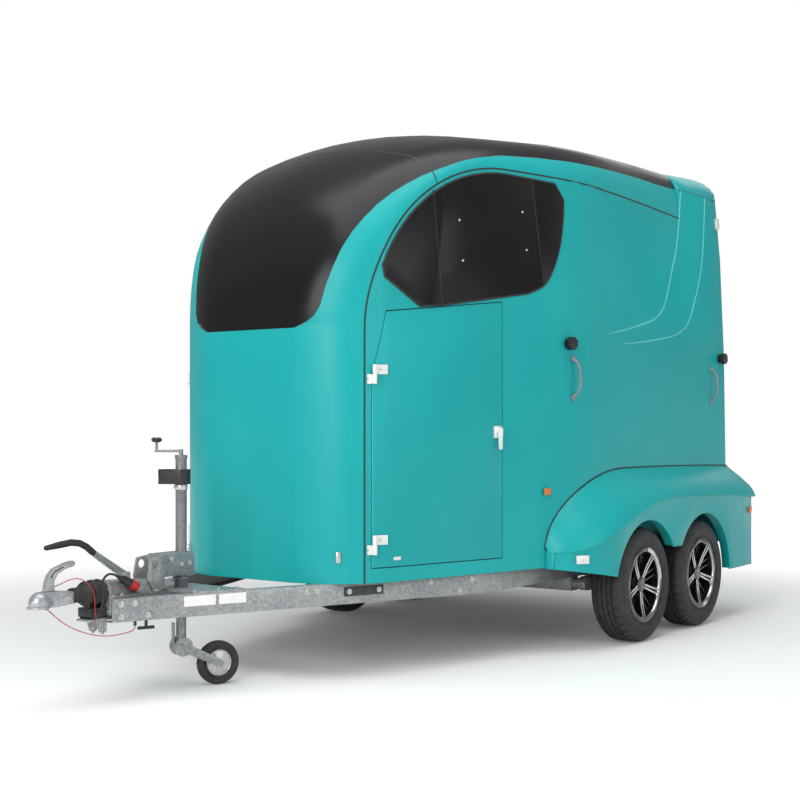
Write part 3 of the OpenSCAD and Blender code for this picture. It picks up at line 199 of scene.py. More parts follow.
def both_sides(left, material):
    """Put a left piece on the trailer, and its mirror image on the right."""
    put_on(left, "trailer", material)
    right = copy_moved(left, left.name.replace("_left", "_right"), MIRROR)
    put_on(right, "trailer", material)


def box(name, middle, size, bevel, turn=0.0):
    """A block round its middle, turned about Z."""
    clear()
    bpy.ops.mesh.primitive_cube_add(size=1, location=middle, rotation=(0, 0, turn))
    piece = bpy.context.active_object
    piece.name = name
    piece.scale = size
    settle(piece)
    if bevel:
        round_edges(piece, bevel)
    return piece


def block(name, x, y, z, bevel=0.001, turn=0.0):
    """A block between two places on each axis, turned about Z round its centre."""
    middle = at(sum(x) / 2, sum(y) / 2, sum(z) / 2)
    return box(name, middle, (x[1] - x[0], y[1] - y[0], z[1] - z[0]), bevel, turn)


def round_bar(name, start, end, radius, sides=20, bevel=0.001):
    clear()
    start, end = Vector(start), Vector(end)
    way = end - start
    bpy.ops.mesh.primitive_cylinder_add(vertices=sides, radius=radius, depth=way.length,
                                        location=(start + end) / 2)
    piece = bpy.context.active_object
    piece.name = name
    piece.rotation_mode = "QUATERNION"
    piece.rotation_quaternion = way.to_track_quat("Z", "Y")
    settle(piece)
    if bevel:
        round_edges(piece, bevel, 2, 50)
    return piece


def bolt(place, way, size=0.010, washer=True):
    """Hexagon head on a washer, standing on a face that looks along way."""
    place, way = Vector(place), Vector(way).normalized()
    parts = [round_bar("head", place, place + way * size * 0.62, size * 0.62, 6, size * 0.07)]
    if washer:
        parts.append(round_bar("washer", place, place + way * size * 0.16, size * 1.05, 20, size * 0.04))
    return joined("bolt", parts)


def screw(place, way, size=0.009):
    """Raised countersunk head with a cross recess in it."""
    place, way = Vector(place), Vector(way).normalized()
    head = round_bar("screw", place - way * 0.001, place + way * size * 0.28, size * 0.5, 16, size * 0.16)
    side = way.orthogonal().normalized()
    marks = []
    for direction in (side, way.cross(side)):
        marks.append(round_bar("mark", place + way * size * 0.285 - direction * size * 0.24,
                               place + way * size * 0.285 + direction * size * 0.24, size * 0.05, 6, 0))
    return joined("screw", [head] + marks)


def strip(name, path, outward, width, height, closed=False):
    """A raised bead laid along a path on a surface."""
    path = [Vector(p) for p in path]
    count = len(path)
    points, faces = [], []
    section = [(-0.5, -0.6), (-0.5, 0.35), (-0.28, 0.85), (0.0, 1.0), (0.28, 0.85), (0.5, 0.35), (0.5, -0.6)]
    for i, place in enumerate(path):
        before = path[i - 1] if closed or i else path[i]
        after = path[(i + 1) % count] if closed or i < count - 1 else path[i]
        along = (after - before).normalized()
        up = Vector(outward[i]).normalized()
        across = along.cross(up).normalized()
        for side, rise in section:
            points.append(place + across * side * width + up * rise * height)
    size = len(section)
    for i in range(count if closed else count - 1):
        for k in range(size):
            a, b = i * size + k, i * size + (k + 1) % size
            c, d = (i + 1) % count * size + k, (i + 1) % count * size + (k + 1) % size
            faces.append((a, b, d, c))
    if not closed:
        faces += [tuple(range(size))[::-1], tuple((count - 1) * size + k for k in range(size))]
    piece = new_piece(name, points, faces)
    face_out(piece)
    smooth(piece, 50)
    return piece


def wall_strip(name, edge, width, height, out=0.0, closed=False):
    """A bead on the left wall through places given as x and z."""
    return strip(name, [on_wall(x, z, out) for x, z in edge], [wall_normal(x) for x, _ in edge],
                 width, height, closed)


def spun(name, section, centre, axis, steps):
    """A closed section turned once round an axis, left in edit mode."""
    count = len(section)
    piece = new_piece(name, section, edges=[(i, (i + 1) % count) for i in range(count)])
    work_on(piece)
    bpy.ops.object.mode_set(mode="EDIT")
    bpy.ops.mesh.select_all(action="SELECT")
    bpy.ops.mesh.spin(steps=steps, angle=2 * math.pi, center=centre, axis=axis)
    bpy.ops.mesh.select_all(action="SELECT")
    bpy.ops.mesh.remove_doubles(threshold=0.00002)
    bpy.ops.mesh.normals_make_consistent(inside=False)
    return piece


# ---- finishes ----

def linear(code):
    channels = [int(code[i:i + 2], 16) / 255 for i in (1, 3, 5)]
    return tuple(c / 12.92 if c <= 0.04045 else ((c + 0.055) / 1.055) ** 2.4 for c in channels) + (1.0,)


def add(material, kind, settings=(), links=()):
    made = material.node_tree.nodes.new(kind)
    for key, value in dict(settings).items():
        if isinstance(key, str) and hasattr(made, key):
            setattr(made, key, value)
        else:
            made.inputs[key].default_value = value
    for socket, source in dict(links).items():
        material.node_tree.links.new(source, made.inputs[socket])
    return made


def join_up(material, source, shader, socket):
    material.node_tree.links.new(source, shader.inputs[socket])


def begun(name, metallic):
    """A new material, its shader and the piece's own coordinates."""
    material = bpy.data.materials.new(name)
    material.use_nodes = True
    shader = material.node_tree.nodes["Principled BSDF"]
    shader.inputs["Metallic"].default_value = metallic
    return material, shader, add(material, "ShaderNodeTexCoord").outputs["Object"]


def emboss(material, height, strength, distance):
    """Lay a relief over a material, in place of the one it had."""
    shader = material.node_tree.nodes["Principled BSDF"]
    bump = add(material, "ShaderNodeBump", {"Strength": strength, "Distance": distance}, {"Height": height})
    join_up(material, bump.outputs["Normal"], shader, "Normal")


def surface(name, shades, rough, blotch=0.3, grain=0.004, depth=0.00005, metallic=0.0, **more):
    """Shader with two shades in blotches, a gloss that varies, and a fine relief.
    blotch and grain are the sizes in metres of colour patches and of the relief."""
    material, shader, place = begun(name, metallic)
    for key, value in more.items():
        shader.inputs[key.replace("_", " ")].default_value = value
    patches = add(material, "ShaderNodeTexNoise", {"Scale": 1 / blotch, "Detail": 3.0, "Roughness": 0.55},
                  {"Vector": place})
    mix = add(material, "ShaderNodeMix", {"data_type": "RGBA", 6: linear(shades[0]), 7: linear(shades[1])},
              {0: add(material, "ShaderNodeMapRange", {"From Min": 0.35, "From Max": 0.65},
                      {"Value": patches.outputs["Fac"]}).outputs["Result"]})
    join_up(material, mix.outputs[2], shader, "Base Color")
    relief = add(material, "ShaderNodeTexNoise", {"Scale": 1 / grain, "Detail": 2.0}, {"Vector": place})
    gloss = add(material, "ShaderNodeMapRange", {"From Min": 0.3, "From Max": 0.7, "To Min": rough[0],
                                                 "To Max": rough[1]},
                {"Value": add(material, "ShaderNodeTexNoise", {"Scale": 2.7 / blotch, "Detail": 4.0},
                              {"Vector": place}).outputs["Fac"]})
    join_up(material, gloss.outputs["Result"], shader, "Roughness")
    emboss(material, relief.outputs["Fac"], 1.0, depth)
    return material


# Polyester gel coat, sprayed and polished: satin turquoise with a faint ripple of
# the fibre below it, so that reflections are soft and not quite straight.
turquoise = surface("gel_coat_turquoise", ("#18a2a4", "#1fa9aa"), (0.30, 0.40), blotch=0.9, grain=0.045,
                    depth=0.00035, Specular_IOR_Level=0.22)
# A paler turquoise laid on the crease rolls: a painted highlight that stands in for the light lines the
# creases catch.
turquoise_painted_highlight = surface("gel_coat_painted_highlight", ("#5cc0c0", "#6accca"), (0.3, 0.4), blotch=0.9, grain=0.045,
                         depth=0.0002, Specular_IOR_Level=0.22)
# The roof moulding is black gel coat from a polished mould: deep black with a soft gloss.
black_gel = surface("gel_coat_black", ("#101114", "#16171a"), (0.22, 0.30), blotch=0.8, grain=0.06,
                    depth=0.0003, Specular_IOR_Level=0.25)
# Smoked acrylic, cast: nearly black from outside, with a soft sheen.
acrylic = surface("smoked_acrylic", ("#121113", "#171618"), (0.2, 0.26), blotch=0.5, grain=0.2,
                  depth=0.0002, Specular_IOR_Level=0.2)
# Raw fibreglass flowcoat inside the roof: matt pale grey.
flowcoat = surface("flowcoat_grey", ("#b9bbb8", "#c6c8c4"), (0.55, 0.7), blotch=0.2, grain=0.012,
                   depth=0.0006)
# EPDM rubber of bellows, seals and grips: matt, slightly dusty black.
epdm = surface("epdm_rubber", ("#1b1b1c", "#262627"), (0.55, 0.72), blotch=0.05, grain=0.0015, depth=0.00008)
# Tyre rubber: dark grey and dull, with a fine tooth.
tyre_rubber = surface("tyre_rubber", ("#2a2a2b", "#353536"), (0.62, 0.8), blotch=0.06, grain=0.002,
                      depth=0.00012)
# Polyamide mouldings: black, with spark-eroded grain.
black_nylon = surface("black_polyamide", ("#161617", "#1e1e1f"), (0.38, 0.5), blotch=0.06, grain=0.0011,
                      depth=0.00006)
# Grey moulded handles, soft sheen.
grey_nylon = surface("grey_polyamide", ("#7b8288", "#858c92"), (0.36, 0.46), blotch=0.08, grain=0.0012,
                     depth=0.00005)
# White moulded hinges and lever plates.
white_nylon = surface("white_polyamide", ("#e3e4e2", "#ecedeb"), (0.32, 0.42), blotch=0.06, grain=0.0012,
                      depth=0.00004)
# Blank self-adhesive film on the drawbar.
blank_film = surface("blank_white_film", ("#e9eae8", "#f2f2f0"), (0.3, 0.38), blotch=0.05, grain=0.004,
                     depth=0.00003)
# PVC sleeve over the steel breakaway cable.
red_pvc = surface("red_pvc", ("#a31418", "#b31a1d"), (0.25, 0.35), blotch=0.03, grain=0.002, depth=0.00004)
# Red thermoplastic of the plug body.
red_plastic = surface("red_abs", ("#a8171b", "#b41d20"), (0.3, 0.4), blotch=0.04, grain=0.0012, depth=0.00004)
# Black lacquer on the cast wheels.
wheel_lacquer = surface("black_wheel_lacquer", ("#131416", "#191a1c"), (0.2, 0.28), blotch=0.06, grain=0.004,
                        depth=0.00005, Coat_Weight=0.5, Coat_Roughness=0.08)
# Anodised aluminium tube and rail of the partition.
anodised = surface("anodised_aluminium", ("#b4b7b9", "#c0c3c5"), (0.3, 0.42), blotch=0.1, grain=0.002,
                   depth=0.00003, metallic=1.0)
# Zinc-plated fasteners: bright, slightly yellow.
plated = surface("zinc_plated_steel", ("#b9bab6", "#c9cac5"), (0.28, 0.4), blotch=0.01, grain=0.001,
                 depth=0.00003, metallic=0.9)
# Steel bracket below the body: its dark grey is painted shade, standing in for the shadow it sits in.
painted_shade_steel = surface("steel_painted_shade", ("#3a3c3e", "#48494b"), (0.4, 0.52), blotch=0.03, grain=0.0016,
                     depth=0.00005, metallic=0.4)
# Polyurethane sealant in the panel joints: dark, with a teal tint that is painted light, standing in for the
# turquoise bounced onto it from beside.
sealant = surface("black_sealant", ("#142526", "#1a2e2f"), (0.4, 0.5), blotch=0.04, grain=0.006, depth=0.0001)
# Foamed vinyl over the bars and edges inside.
vinyl = surface("foam_vinyl", ("#26282a", "#2d2f31"), (0.45, 0.58), blotch=0.08, grain=0.0022, depth=0.00025)


def galvanised(name, shades, spangle, rough, metallic):
    """Hot-dip galvanised steel: grey crystals with clear edges, dull sheen, and a few
    runs of thicker zinc."""
    material, shader, place = begun(name, metallic)
    bent = add(material, "ShaderNodeTexNoise", {"Scale": 0.6 / spangle, "Detail": 3.0}, {"Vector": place})
    pushed = add(material, "ShaderNodeVectorMath", {"operation": "MULTIPLY_ADD", 1: (spangle * 0.9,) * 3},
                 {0: bent.outputs["Color"], 2: place})
    cells = add(material, "ShaderNodeTexVoronoi", {"Scale": 1 / spangle, "Randomness": 1.0},
                {"Vector": pushed.outputs["Vector"]})
    split = add(material, "ShaderNodeSeparateColor", (), {"Color": cells.outputs["Color"]})
    cloud = add(material, "ShaderNodeTexNoise", {"Scale": 5.0, "Detail": 4.0}, {"Vector": place})
    amount = add(material, "ShaderNodeMath", {"operation": "MULTIPLY_ADD", 1: 0.6},
                 {0: split.outputs[0], 2: add(material, "ShaderNodeMapRange",
                                              {"From Min": 0.3, "From Max": 0.7, "To Max": 0.4},
                                              {"Value": cloud.outputs["Fac"]}).outputs["Result"]})
    mix = add(material, "ShaderNodeMix", {"data_type": "RGBA", 6: linear(shades[0]), 7: linear(shades[1])},
              {0: amount.outputs["Value"]})
    join_up(material, mix.outputs[2], shader, "Base Color")
    gloss = add(material, "ShaderNodeMapRange", {"To Min": rough[0], "To Max": rough[1]},
                {"Value": split.outputs[1]})
    join_up(material, gloss.outputs["Result"], shader, "Roughness")
    grit = add(material, "ShaderNodeTexNoise", {"Scale": 90.0, "Detail": 4.0}, {"Vector": place})
    emboss(material, grit.outputs["Fac"], 0.5, 0.0002)
    return material


zinc = galvanised("galvanised_steel", ("#828587", "#b2b4b5"), 0.010, (0.36, 0.5), 0.55)
# Drawn tube takes a duller, darker coat.
tube_zinc = galvanised("galvanised_tube", ("#67696b", "#8c8e90"), 0.007, (0.36, 0.5), 0.55)
# The coupling is a forging with brighter, finer zinc.
cast_zinc = galvanised("galvanised_casting", ("#9a9da0", "#bec0c2"), 0.006, (0.3, 0.42), 0.6)


def lens(name, shades, ribs):
    """Moulded lens: clear colour over a ribbed inner face that shows through as fine
    lighter lines."""
    material = surface(name, shades, (0.06, 0.1), blotch=0.02, grain=0.02, depth=0.00001, IOR=1.49,
                       Coat_Weight=0.3)
    place = add(material, "ShaderNodeTexCoord").outputs["Object"]
    waves = add(material, "ShaderNodeTexWave", {"bands_direction": "Z", "Scale": 0.159 / ribs,
                                                "Distortion": 0.0}, {"Vector": place})
    emboss(material, waves.outputs["Fac"], 0.6, 0.0006)
    return material


orange_lens = lens("orange_lens", ("#d9680f", "#e87c1c"), 0.004)
red_lens = lens("red_lens", ("#a80f12", "#bd1a1a"), 0.004)
clear_lens = lens("clear_lens", ("#dcdcda", "#eeeeec"), 0.004)
# Diamond-turned face of the wheels: bright under a thin clear coat.
machined = surface("machined_aluminium", ("#b9bbbd", "#cfd1d2"), (0.2, 0.3), blotch=0.05, grain=0.003,
                   depth=0.00003, metallic=0.9, Coat_Weight=0.3)


def deck_board():
    """Film-faced birch ply: brown, with the pressed mesh of its anti-slip face."""
    material = surface("film_faced_plywood", ("#4a3627", "#5a4331"), (0.42, 0.55), blotch=0.25, grain=0.004,
                       depth=0.0001)
    place = add(material, "ShaderNodeTexCoord").outputs["Object"]
    mesh = [add(material, "ShaderNodeTexWave", {"bands_direction": way, "Scale": 26.0}, {"Vector": place})
            for way in ("X", "Y")]
    both = add(material, "ShaderNodeMath", {"operation": "MAXIMUM"},
               {0: mesh[0].outputs["Fac"], 1: mesh[1].outputs["Fac"]})
    emboss(material, both.outputs["Value"], 0.7, 0.0004)
    return material


deck = deck_board()


def hammered_mat():
    """Rubber stable mat: dark grey with the hammered pits of its mould, 12 mm apart."""
    material = surface("hammered_rubber", ("#232425", "#2e2f30"), (0.6, 0.75), blotch=0.1, grain=0.003,
                       depth=0.0001)
    place = add(material, "ShaderNodeTexCoord").outputs["Object"]
    pits = add(material, "ShaderNodeTexVoronoi", {"Scale": 80.0, "feature": "SMOOTH_F1"}, {"Vector": place})
    emboss(material, pits.outputs["Distance"], 0.8, 0.0015)
    return material


mat_rubber = hammered_mat()


# ---- the two cords on the drawbar ----

def soft_line(points, steps=5):
    """Smooth line through the places, in the model's own frame."""
    places = [at(x / 1000, y / 1000, z / 1000) for x, y, z in points]
    line = []
    for i in range(len(places) - 1):
        a, b = places[max(i - 1, 0)], places[i]
        c, d = places[i + 1], places[min(i + 2, len(places) - 1)]
        for k in range(steps):
            t = k / steps
            line.append(0.5 * (2 * b + (c - a) * t + (2 * a - 5 * b + 4 * c - d) * t ** 2
                               + (3 * b - a - 3 * c + d) * t ** 3))
    return line + [places[-1]]


def cable(name, line, radius, material):
    data = bpy.data.curves.new(name, "CURVE")
    data.dimensions = "3D"
    data.bevel_depth = radius
    data.bevel_resolution = 4
    data.use_fill_caps = True
    spline = data.splines.new("POLY")
    spline.points.add(len(line) - 1)
    for point, place in zip(spline.points, line):
        point.co = (*place, 1.0)
    spline.use_smooth = True
    piece = bpy.data.objects.new(name, data)
    bpy.context.scene.collection.objects.link(piece)
    data.materials.append(material)
    return piece


lead_line = soft_line([(3269, 64, 551), (3287, 64, 560), (3312, 65, 566), (3335, 67, 561), (3354, 70, 546),
                       (3363, 74, 530), (3367, 79, 511), (3370, 84, 483), (3373, 86, 453), (3373, 83, 438),
                       (3373, 74, 425), (3373, 61, 416), (3373, 46, 413), (3373, 40.3, 413)])
cable_line = soft_line([(3196, 92, 335.7), (3196, 92, 328), (3203, 93, 319), (3222, 94, 313), (3270, 92, 308),
                        (3330, 88, 307), (3390, 78, 314), (3445, 66, 330), (3500, 52, 354), (3545, 36, 384),
                        (3575, 20, 414), (3588, 2, 434), (3592, -18, 440), (3588, -33, 452), (3578, -38, 476),
                        (3565, -36, 506), (3554, -24, 524), (3546, -4, 532), (3532, 14, 542), (3510, 28, 554),
                        (3480, 40, 560), (3450, 48, 552), (3425, 56, 534), (3407, 62, 508), (3398, 64, 482),
                        (3394, 62, 456), (3391, 60, 430), (3388, 60, 404), (3386, 60, 388), (3385, 57, 376),
                        (3385, 51, 372.5), (3385, 44.3, 372.5)])
plug_lead = cable("plug_lead", lead_line[::-1], 0.005, epdm)
safety_cable = cable("safety_cable", cable_line[::-1], 0.002, red_pvc)


# ---- finishing of the moulded and welded pieces ----

def finished(node, body, finishes, bevel=0.0, sharp=32.0):
    """A merged copy of a solid with its edges softened. finishes is a list of materials,
    each with a test of face centre (x from the axles) and normal, or none for all."""
    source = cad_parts[node]
    piece = bpy.data.objects.new(node + "_finished", source.data.copy())
    bpy.context.scene.collection.objects.link(piece)
    work_on(piece)
    bpy.ops.object.mode_set(mode="EDIT")
    bpy.ops.mesh.select_all(action="SELECT")
    bpy.ops.mesh.remove_doubles(threshold=0.00003)
    bpy.ops.mesh.dissolve_limited(angle_limit=math.radians(0.4))
    bpy.ops.object.mode_set(mode="OBJECT")
    if bevel:
        round_edges(piece, bevel, 2)
    piece.data.materials.clear()
    for material, _ in finishes:
        piece.data.materials.append(material)
    shift = Vector((MID, 0, 0))
    for face in piece.data.polygons:
        face.material_index = 0
        for index, (_, test) in enumerate(finishes):
            if test and test(face.center + shift, face.normal):
                face.material_index = index
    smooth(piece, sharp)
    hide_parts(node)
    put_on(piece, body)
    return piece


def only(material):
    return [(material, None)]


def inner_roof(c, n):
    """The roof moulding's inner face: it looks towards the middle of the body."""
    inward = Vector((c.x - 1.0, 0, c.z - 1.5)).dot(n) < 0
    return (inward and abs(n.z) + abs(n.x) > 0.3
            and (n.z < -0.2 or n.x < -0.3 or (abs(n.y) > 0.5 and c.y * n.y < 0)))


# Ends of the pins that the ramp and the upper flap turn on, as x and z
PIN_ENDS = ((-1.097, 0.466), (-0.943, 2.553))


def pin_end(c, n):
    return abs(c.y) < 0.8208 and any(Vector((c.x - x, 0, c.z - z)).length < 0.0075 for x, z in PIN_ENDS)


def stand_plastic(c, n):
    """The winding grip, and the cap on top of the jockey stand."""
    beside = math.hypot(c.x - JOCKEY_X, c.y) > 0.0262
    return c.z > 1.1215 or (GRIP_LOW < c.z < GRIP_HIGH and beside)


nose = finished("nose_shell", "trailer", only(turquoise), sharp=40)
dome = finished("roof_dome", "trailer", [(black_gel, None), (flowcoat, inner_roof)], sharp=40)
for side, sign in (("left", 1), ("right", -1)):
    finished("side_" + side, "trailer", only(turquoise), sharp=20)
    finished("window_" + side, "trailer", only(acrylic), bevel=0.001)
    finished("door_" + side, "door_" + side,
             [(turquoise, None),
              (white_nylon, lambda c, n, s=sign: s * c.y > wall_y(c.x) + 0.0005
               or (s * c.y > wall_y(c.x) - 0.004 and c.x > 2.16))], bevel=0.002)
    finished("mudguard_" + side, "trailer", only(turquoise), bevel=0.002)
    finished("rail_" + side, "trailer", only(zinc), bevel=0.0008)
for node, bright in (("rear_hood", lambda c, n: False), ("rear_frame", pin_end)):
    finished(node, "trailer", [(turquoise, None), (zinc, bright)], bevel=0.003)
finished("ramp", "ramp", [(turquoise, None), (zinc, lambda c, n: c.z < 0.4795)], bevel=0.004)
finished("top_flap", "top_flap", only(turquoise), bevel=0.004)
finished("hinges", "trailer", only(white_nylon), bevel=0.0015)
finished("handles", "trailer", only(grey_nylon), sharp=60)
finished("knobs", "trailer", only(black_nylon), bevel=0.0015)
finished("floor", "trailer", only(deck), bevel=0.001)
finished("partition", "trailer", only(anodised), bevel=0.003)
for node in ("cross_frame", "axle_front", "axle_rear"):
    finished(node, "trailer", only(zinc), bevel=0.001)
finished("overrun_housing", "trailer",
         [(zinc, None),
          (black_nylon, lambda c, n: (c.x > 3.3085 and abs(c.y) < 0.0405 and 0.3775 < c.z < 0.4245)
           or (c.z < 0.356 and abs(c.x - 3.196) < 0.0075 and c.y > 0.08))], bevel=0.0015)
finished("bellows", "trailer", only(epdm), sharp=70)
finished("coupling_head", "trailer", only(cast_zinc), bevel=0.001, sharp=40)
finished("coupling_lever", "trailer", only(cast_zinc), bevel=0.003)
finished("handbrake", "trailer", [(zinc, None), (epdm, lambda c, n: c.x > 3.29 and c.z > 0.632)],
         bevel=0.0008, sharp=45)
stand = finished("jockey_tube", "trailer", [(tube_zinc, None), (black_nylon, stand_plastic)],
                 bevel=0.001)
# Some of the winding grip's outer points are drawn in towards its middle height
work_on(stand)
bpy.ops.object.mode_set(mode="EDIT")
pick(stand, lambda c, n: GRIP_LOW < c.z < GRIP_HIGH and (c - at(JOCKEY_X, 0, c.z)).length > 0.0675)
bpy.ops.transform.resize(value=(1, 1, 0.42), center_override=at(JOCKEY_X, 0, 0.978))
bpy.ops.object.mode_set(mode="OBJECT")
finished("jockey_fork", "jockey_swivel", only(zinc), bevel=0.001)
finished("jockey_rim", "jockey_wheel", only(plated), bevel=0.002)
finished("jockey_tyre", "jockey_wheel", only(tyre_rubber), sharp=60)
plug_body = finished("plug", "trailer",
                     [(black_nylon, None),
                      (red_plastic, lambda c, n: (c - Vector((3.162, 0.064, 0.497))).dot(
                          Vector((0.893, 0, 0.449))) < 0.0425)], bevel=0.001)
finished("lamps", "trailer",
         [(orange_lens, None), (clear_lens, lambda c, n: (0.9 < c.x < 1.03 and c.z < 0.56)
                                or (c.z > 2.4 and c.x > -0.9505)),
          (red_lens, lambda c, n: (c.z > 2.4 and c.x <= -0.9505) or (c.x < -1.0 and 1.1 < c.z < 1.6))],
         bevel=0.0015)

for piece, node in ((plug_lead, "lead"), (safety_cable, "breakaway")):
    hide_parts(node)
    put_on(piece, "trailer")


# ---- road wheels ----

# Half of the tyre's section: distance from the axis, distance from the middle.
TREAD = [(0.3170, 0.0095), (0.3100, 0.0105), (0.3100, 0.0180), (0.3170, 0.0190), (0.3168, 0.0400),
         (0.3098, 0.0410), (0.3098, 0.0490), (0.3162, 0.0500), (0.3150, 0.0600), (0.3118, 0.0700),
         (0.3060, 0.0785), (0.2995, 0.0843), (0.2910, 0.0905), (0.2830, 0.0945), (0.2690, 0.0968),
         (0.2685, 0.0976), (0.2560, 0.0976), (0.2550, 0.0970), (0.2400, 0.0953), (0.2270, 0.0930),
         (0.2245, 0.0945), (0.2215, 0.0940), (0.2200, 0.0905), (0.2120, 0.0846), (0.2080, 0.0828),
         (0.1915, 0.0812)]


def road_tyre():
    section = TREAD + [(r, -y) for r, y in reversed(TREAD)]
    hub = at(AXLE_X, TYRE_Y, TYRE_R)
    tyre = spun("tyre_model", [hub + Vector((r, y, 0)) for r, y in section], hub, (0, 1, 0), 144)

    # Cross grooves in the shoulders, and shorter ones in the ribs beside the middle
    def step(c):
        return math.floor(math.degrees(math.atan2(c.z - hub.z, c.x - hub.x)) % 360 / 2.5)

    def rib(low, high, offset):
        return lambda c, n: (low < abs(c.y - hub.y) < high and abs(n.y) < 0.75
                             and math.hypot(c.x - hub.x, c.z - hub.z) > 0.303
                             and (step(c) + (offset if c.y > hub.y else offset + 2)) % 4 == 0)

    for low, high, offset in ((0.0505, 0.079, 0), (0.0192, 0.0398, 2)):
        pick(tyre, rib(low, high, offset))
        bpy.ops.mesh.extrude_region_shrink_fatten(
            TRANSFORM_OT_shrink_fatten={"value": -0.0042})
    bpy.ops.object.mode_set(mode="OBJECT")
    smooth(tyre, 30)
    tyre.data.materials.append(tyre_rubber)
    return tyre


def rim_faces(node, sign):
    """Bright where the tool has turned the lip and the twin spokes, black elsewhere."""
    hub_x = AXLE_X if node[-2] == "f" else -AXLE_X

    def bright(c, n):
        out = sign * c.y - TYRE_Y
        r = math.hypot(c.x - hub_x, c.z - TYRE_R)
        if sign * n.y > 0.5 and 0.046 < r < 0.186 and out > 0.0635:
            return True
        return r > 0.180 and out > 0.080 and sign * n.y > -0.3
    return bright


tyre_model = road_tyre()
for front in ("f", "r"):
    for side, sign in (("l", 1), ("r", -1)):
        key = front + side
        move = Matrix.Translation((0 if front == "f" else -2 * AXLE_X, 0, 0))
        if sign < 0:
            move = move @ MIRROR
        if key != "fl":
            twin = copy_moved(tyre_model, "tyre_" + key + "_treaded", move)
            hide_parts("tyre_" + key)
            put_on(twin, "wheel_" + key)
        finished("rim_" + key, "wheel_" + key,
                 [(wheel_lacquer, None), (machined, rim_faces("rim_" + key, sign))], bevel=0.0006, sharp=35)
tyre_model.name = "tyre_fl_treaded"
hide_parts("tyre_fl")
put_on(tyre_model, "wheel_fl")


# ---- beads, seals and small fittings of the body ----

def arch_arc(radius, low, high, step):
    """Places x and z on a circle round the arch's middle, between angles in degrees."""
    return [(ARCH_X + radius * math.cos(math.radians(a)), ARCH_Z + radius * math.sin(math.radians(a)))
            for a in range(low, high, step)]


arch = [(2.2, z) for z in (0.456, 0.8, 1.2, 1.5)] + arch_arc(ARCH_R, 0, 91, 3)
arch += [(ARCH_X - 1.75 * t / 12, 2.5 - 0.05 * (t / 12) ** 2) for t in range(1, 13)]
both_sides(wall_strip("hoop_bead_left", arch, 0.009, 0.0016), sealant)


def outline(corners, step=0.06):
    points = []
    for (x0, z0), (x1, z1) in zip(corners, corners[1:] + corners[:1]):
        count = max(1, round(math.hypot(x1 - x0, z1 - z0) / step))
        points += [(x0 + (x1 - x0) * i / count, z0 + (z1 - z0) * i / count) for i in range(count)]
    return points


door_edge = outline([(1.3695, 0.5255), (2.1675, 0.5255), (2.1675, 1.4405), (2.097, 1.7415), (1.3695, 1.8255)])
seal = strip("door_seal_left", [at(x, wall_y(x) - 0.006, z) for x, z in door_edge],
             [wall_normal(x) for x, _ in door_edge], 0.0046, 0.003, closed=True)
both_sides(seal, epdm)

window_screws = joined("window_screws_left", [
    screw(on_wall(x, z, PANE_OUT), wall_normal(x), 0.014)
    for x, z in ((1.657, 2.213), (1.635, 2.015), (1.24, 2.295), (1.211, 2.102))])
smooth(window_screws)
both_sides(window_screws, plated)

# Joint across the dark roof and the two hoops: a plane square to the length, met from outside
seam_middle = at(1.793, 0, 1.9)
seam_path, seam_out = [], []
for i in range(75):
    tilt = math.radians(-55.5 + 1.5 * i)
    way = Vector((0, math.sin(tilt), math.cos(tilt)))
    met = [shell.ray_cast(seam_middle + way * 2, -way) for shell in (dome, nose)]
    met = [(place, normal) for hit, place, normal, _ in met if hit]
    place, normal = max(met, key=lambda pair: (pair[0] - seam_middle).length)
    seam_path.append(place)
    seam_out.append(normal)
roof_seam = strip("roof_seam", seam_path, seam_out, 0.007, 0.0012)
put_on(roof_seam, "trailer", sealant)

# Gasket round the pane's edge
rear_edge = soft_line([(1010, 0, 2466), (946, 0, 2390), (964, 0, 2176), (1014, 0, 2030), (1079, 0, 1935),
                       (1199, 0, 1880), (1230, 0, 1875)])[5:26]
edge = [(p.x + MID, p.z) for p in rear_edge]
edge += [(1.199 + 0.557 * i / 12, 1.88 - 0.09 * i / 12) for i in range(1, 13)]
edge += [(1.826, 1.783), (1.896, 1.776), (1.966, 1.819), (2.035, 1.862), (2.105, 1.905)]
edge += arch_arc(0.825, 22, 91, 4)
edge += [(1.18, 2.4705), (1.01, 2.466), (0.978, 2.428)]
both_sides(wall_strip("pane_gasket_left", edge, 0.013, 0.0068, closed=True), epdm)

# Edges where the three panes overlap, and a flush filler in the groove behind them
for name, foot, head, width, height, material in (
        ("pane_edge_front", (1.762, 1.794), (1.819, 2.345), 0.005, 0.0012, black_nylon),
        ("pane_edge_rear", (1.087, 1.932), (1.1755, 2.47), 0.005, 0.0012, black_nylon),
        ("pane_filler", (1.814, 1.786), (1.746, 2.372), 0.010, 0.0005, acrylic)):
    places = [(foot[0] + (head[0] - foot[0]) * i / 12, foot[1] + (head[1] - foot[1]) * i / 12)
              for i in range(13)]
    both_sides(wall_strip(name + "_left", places, width, height, PANE_OUT), material)


# Sealant where the mudguard's skin meets the side wall
def guard_top(x):
    if x > 0.318:
        return 0.533 + 0.424 * math.sqrt(max(0.0, 1 - ((x - 0.318) / 0.762) ** 2))
    return 0.957 - 0.02 * ((0.318 - x) / 1.443) ** 2


guard_x = [1.0795 - 0.7615 * (i / 24) ** 2 for i in range(25)] + [0.25 - 0.0683 * i for i in range(21)]
guard_seal = strip("guard_seal_left", [at(x, wall_y(x), guard_top(x) + 0.0015) for x in guard_x],
                   [(0, 1, 0)] * len(guard_x), 0.009, 0.004)
both_sides(guard_seal, sealant)

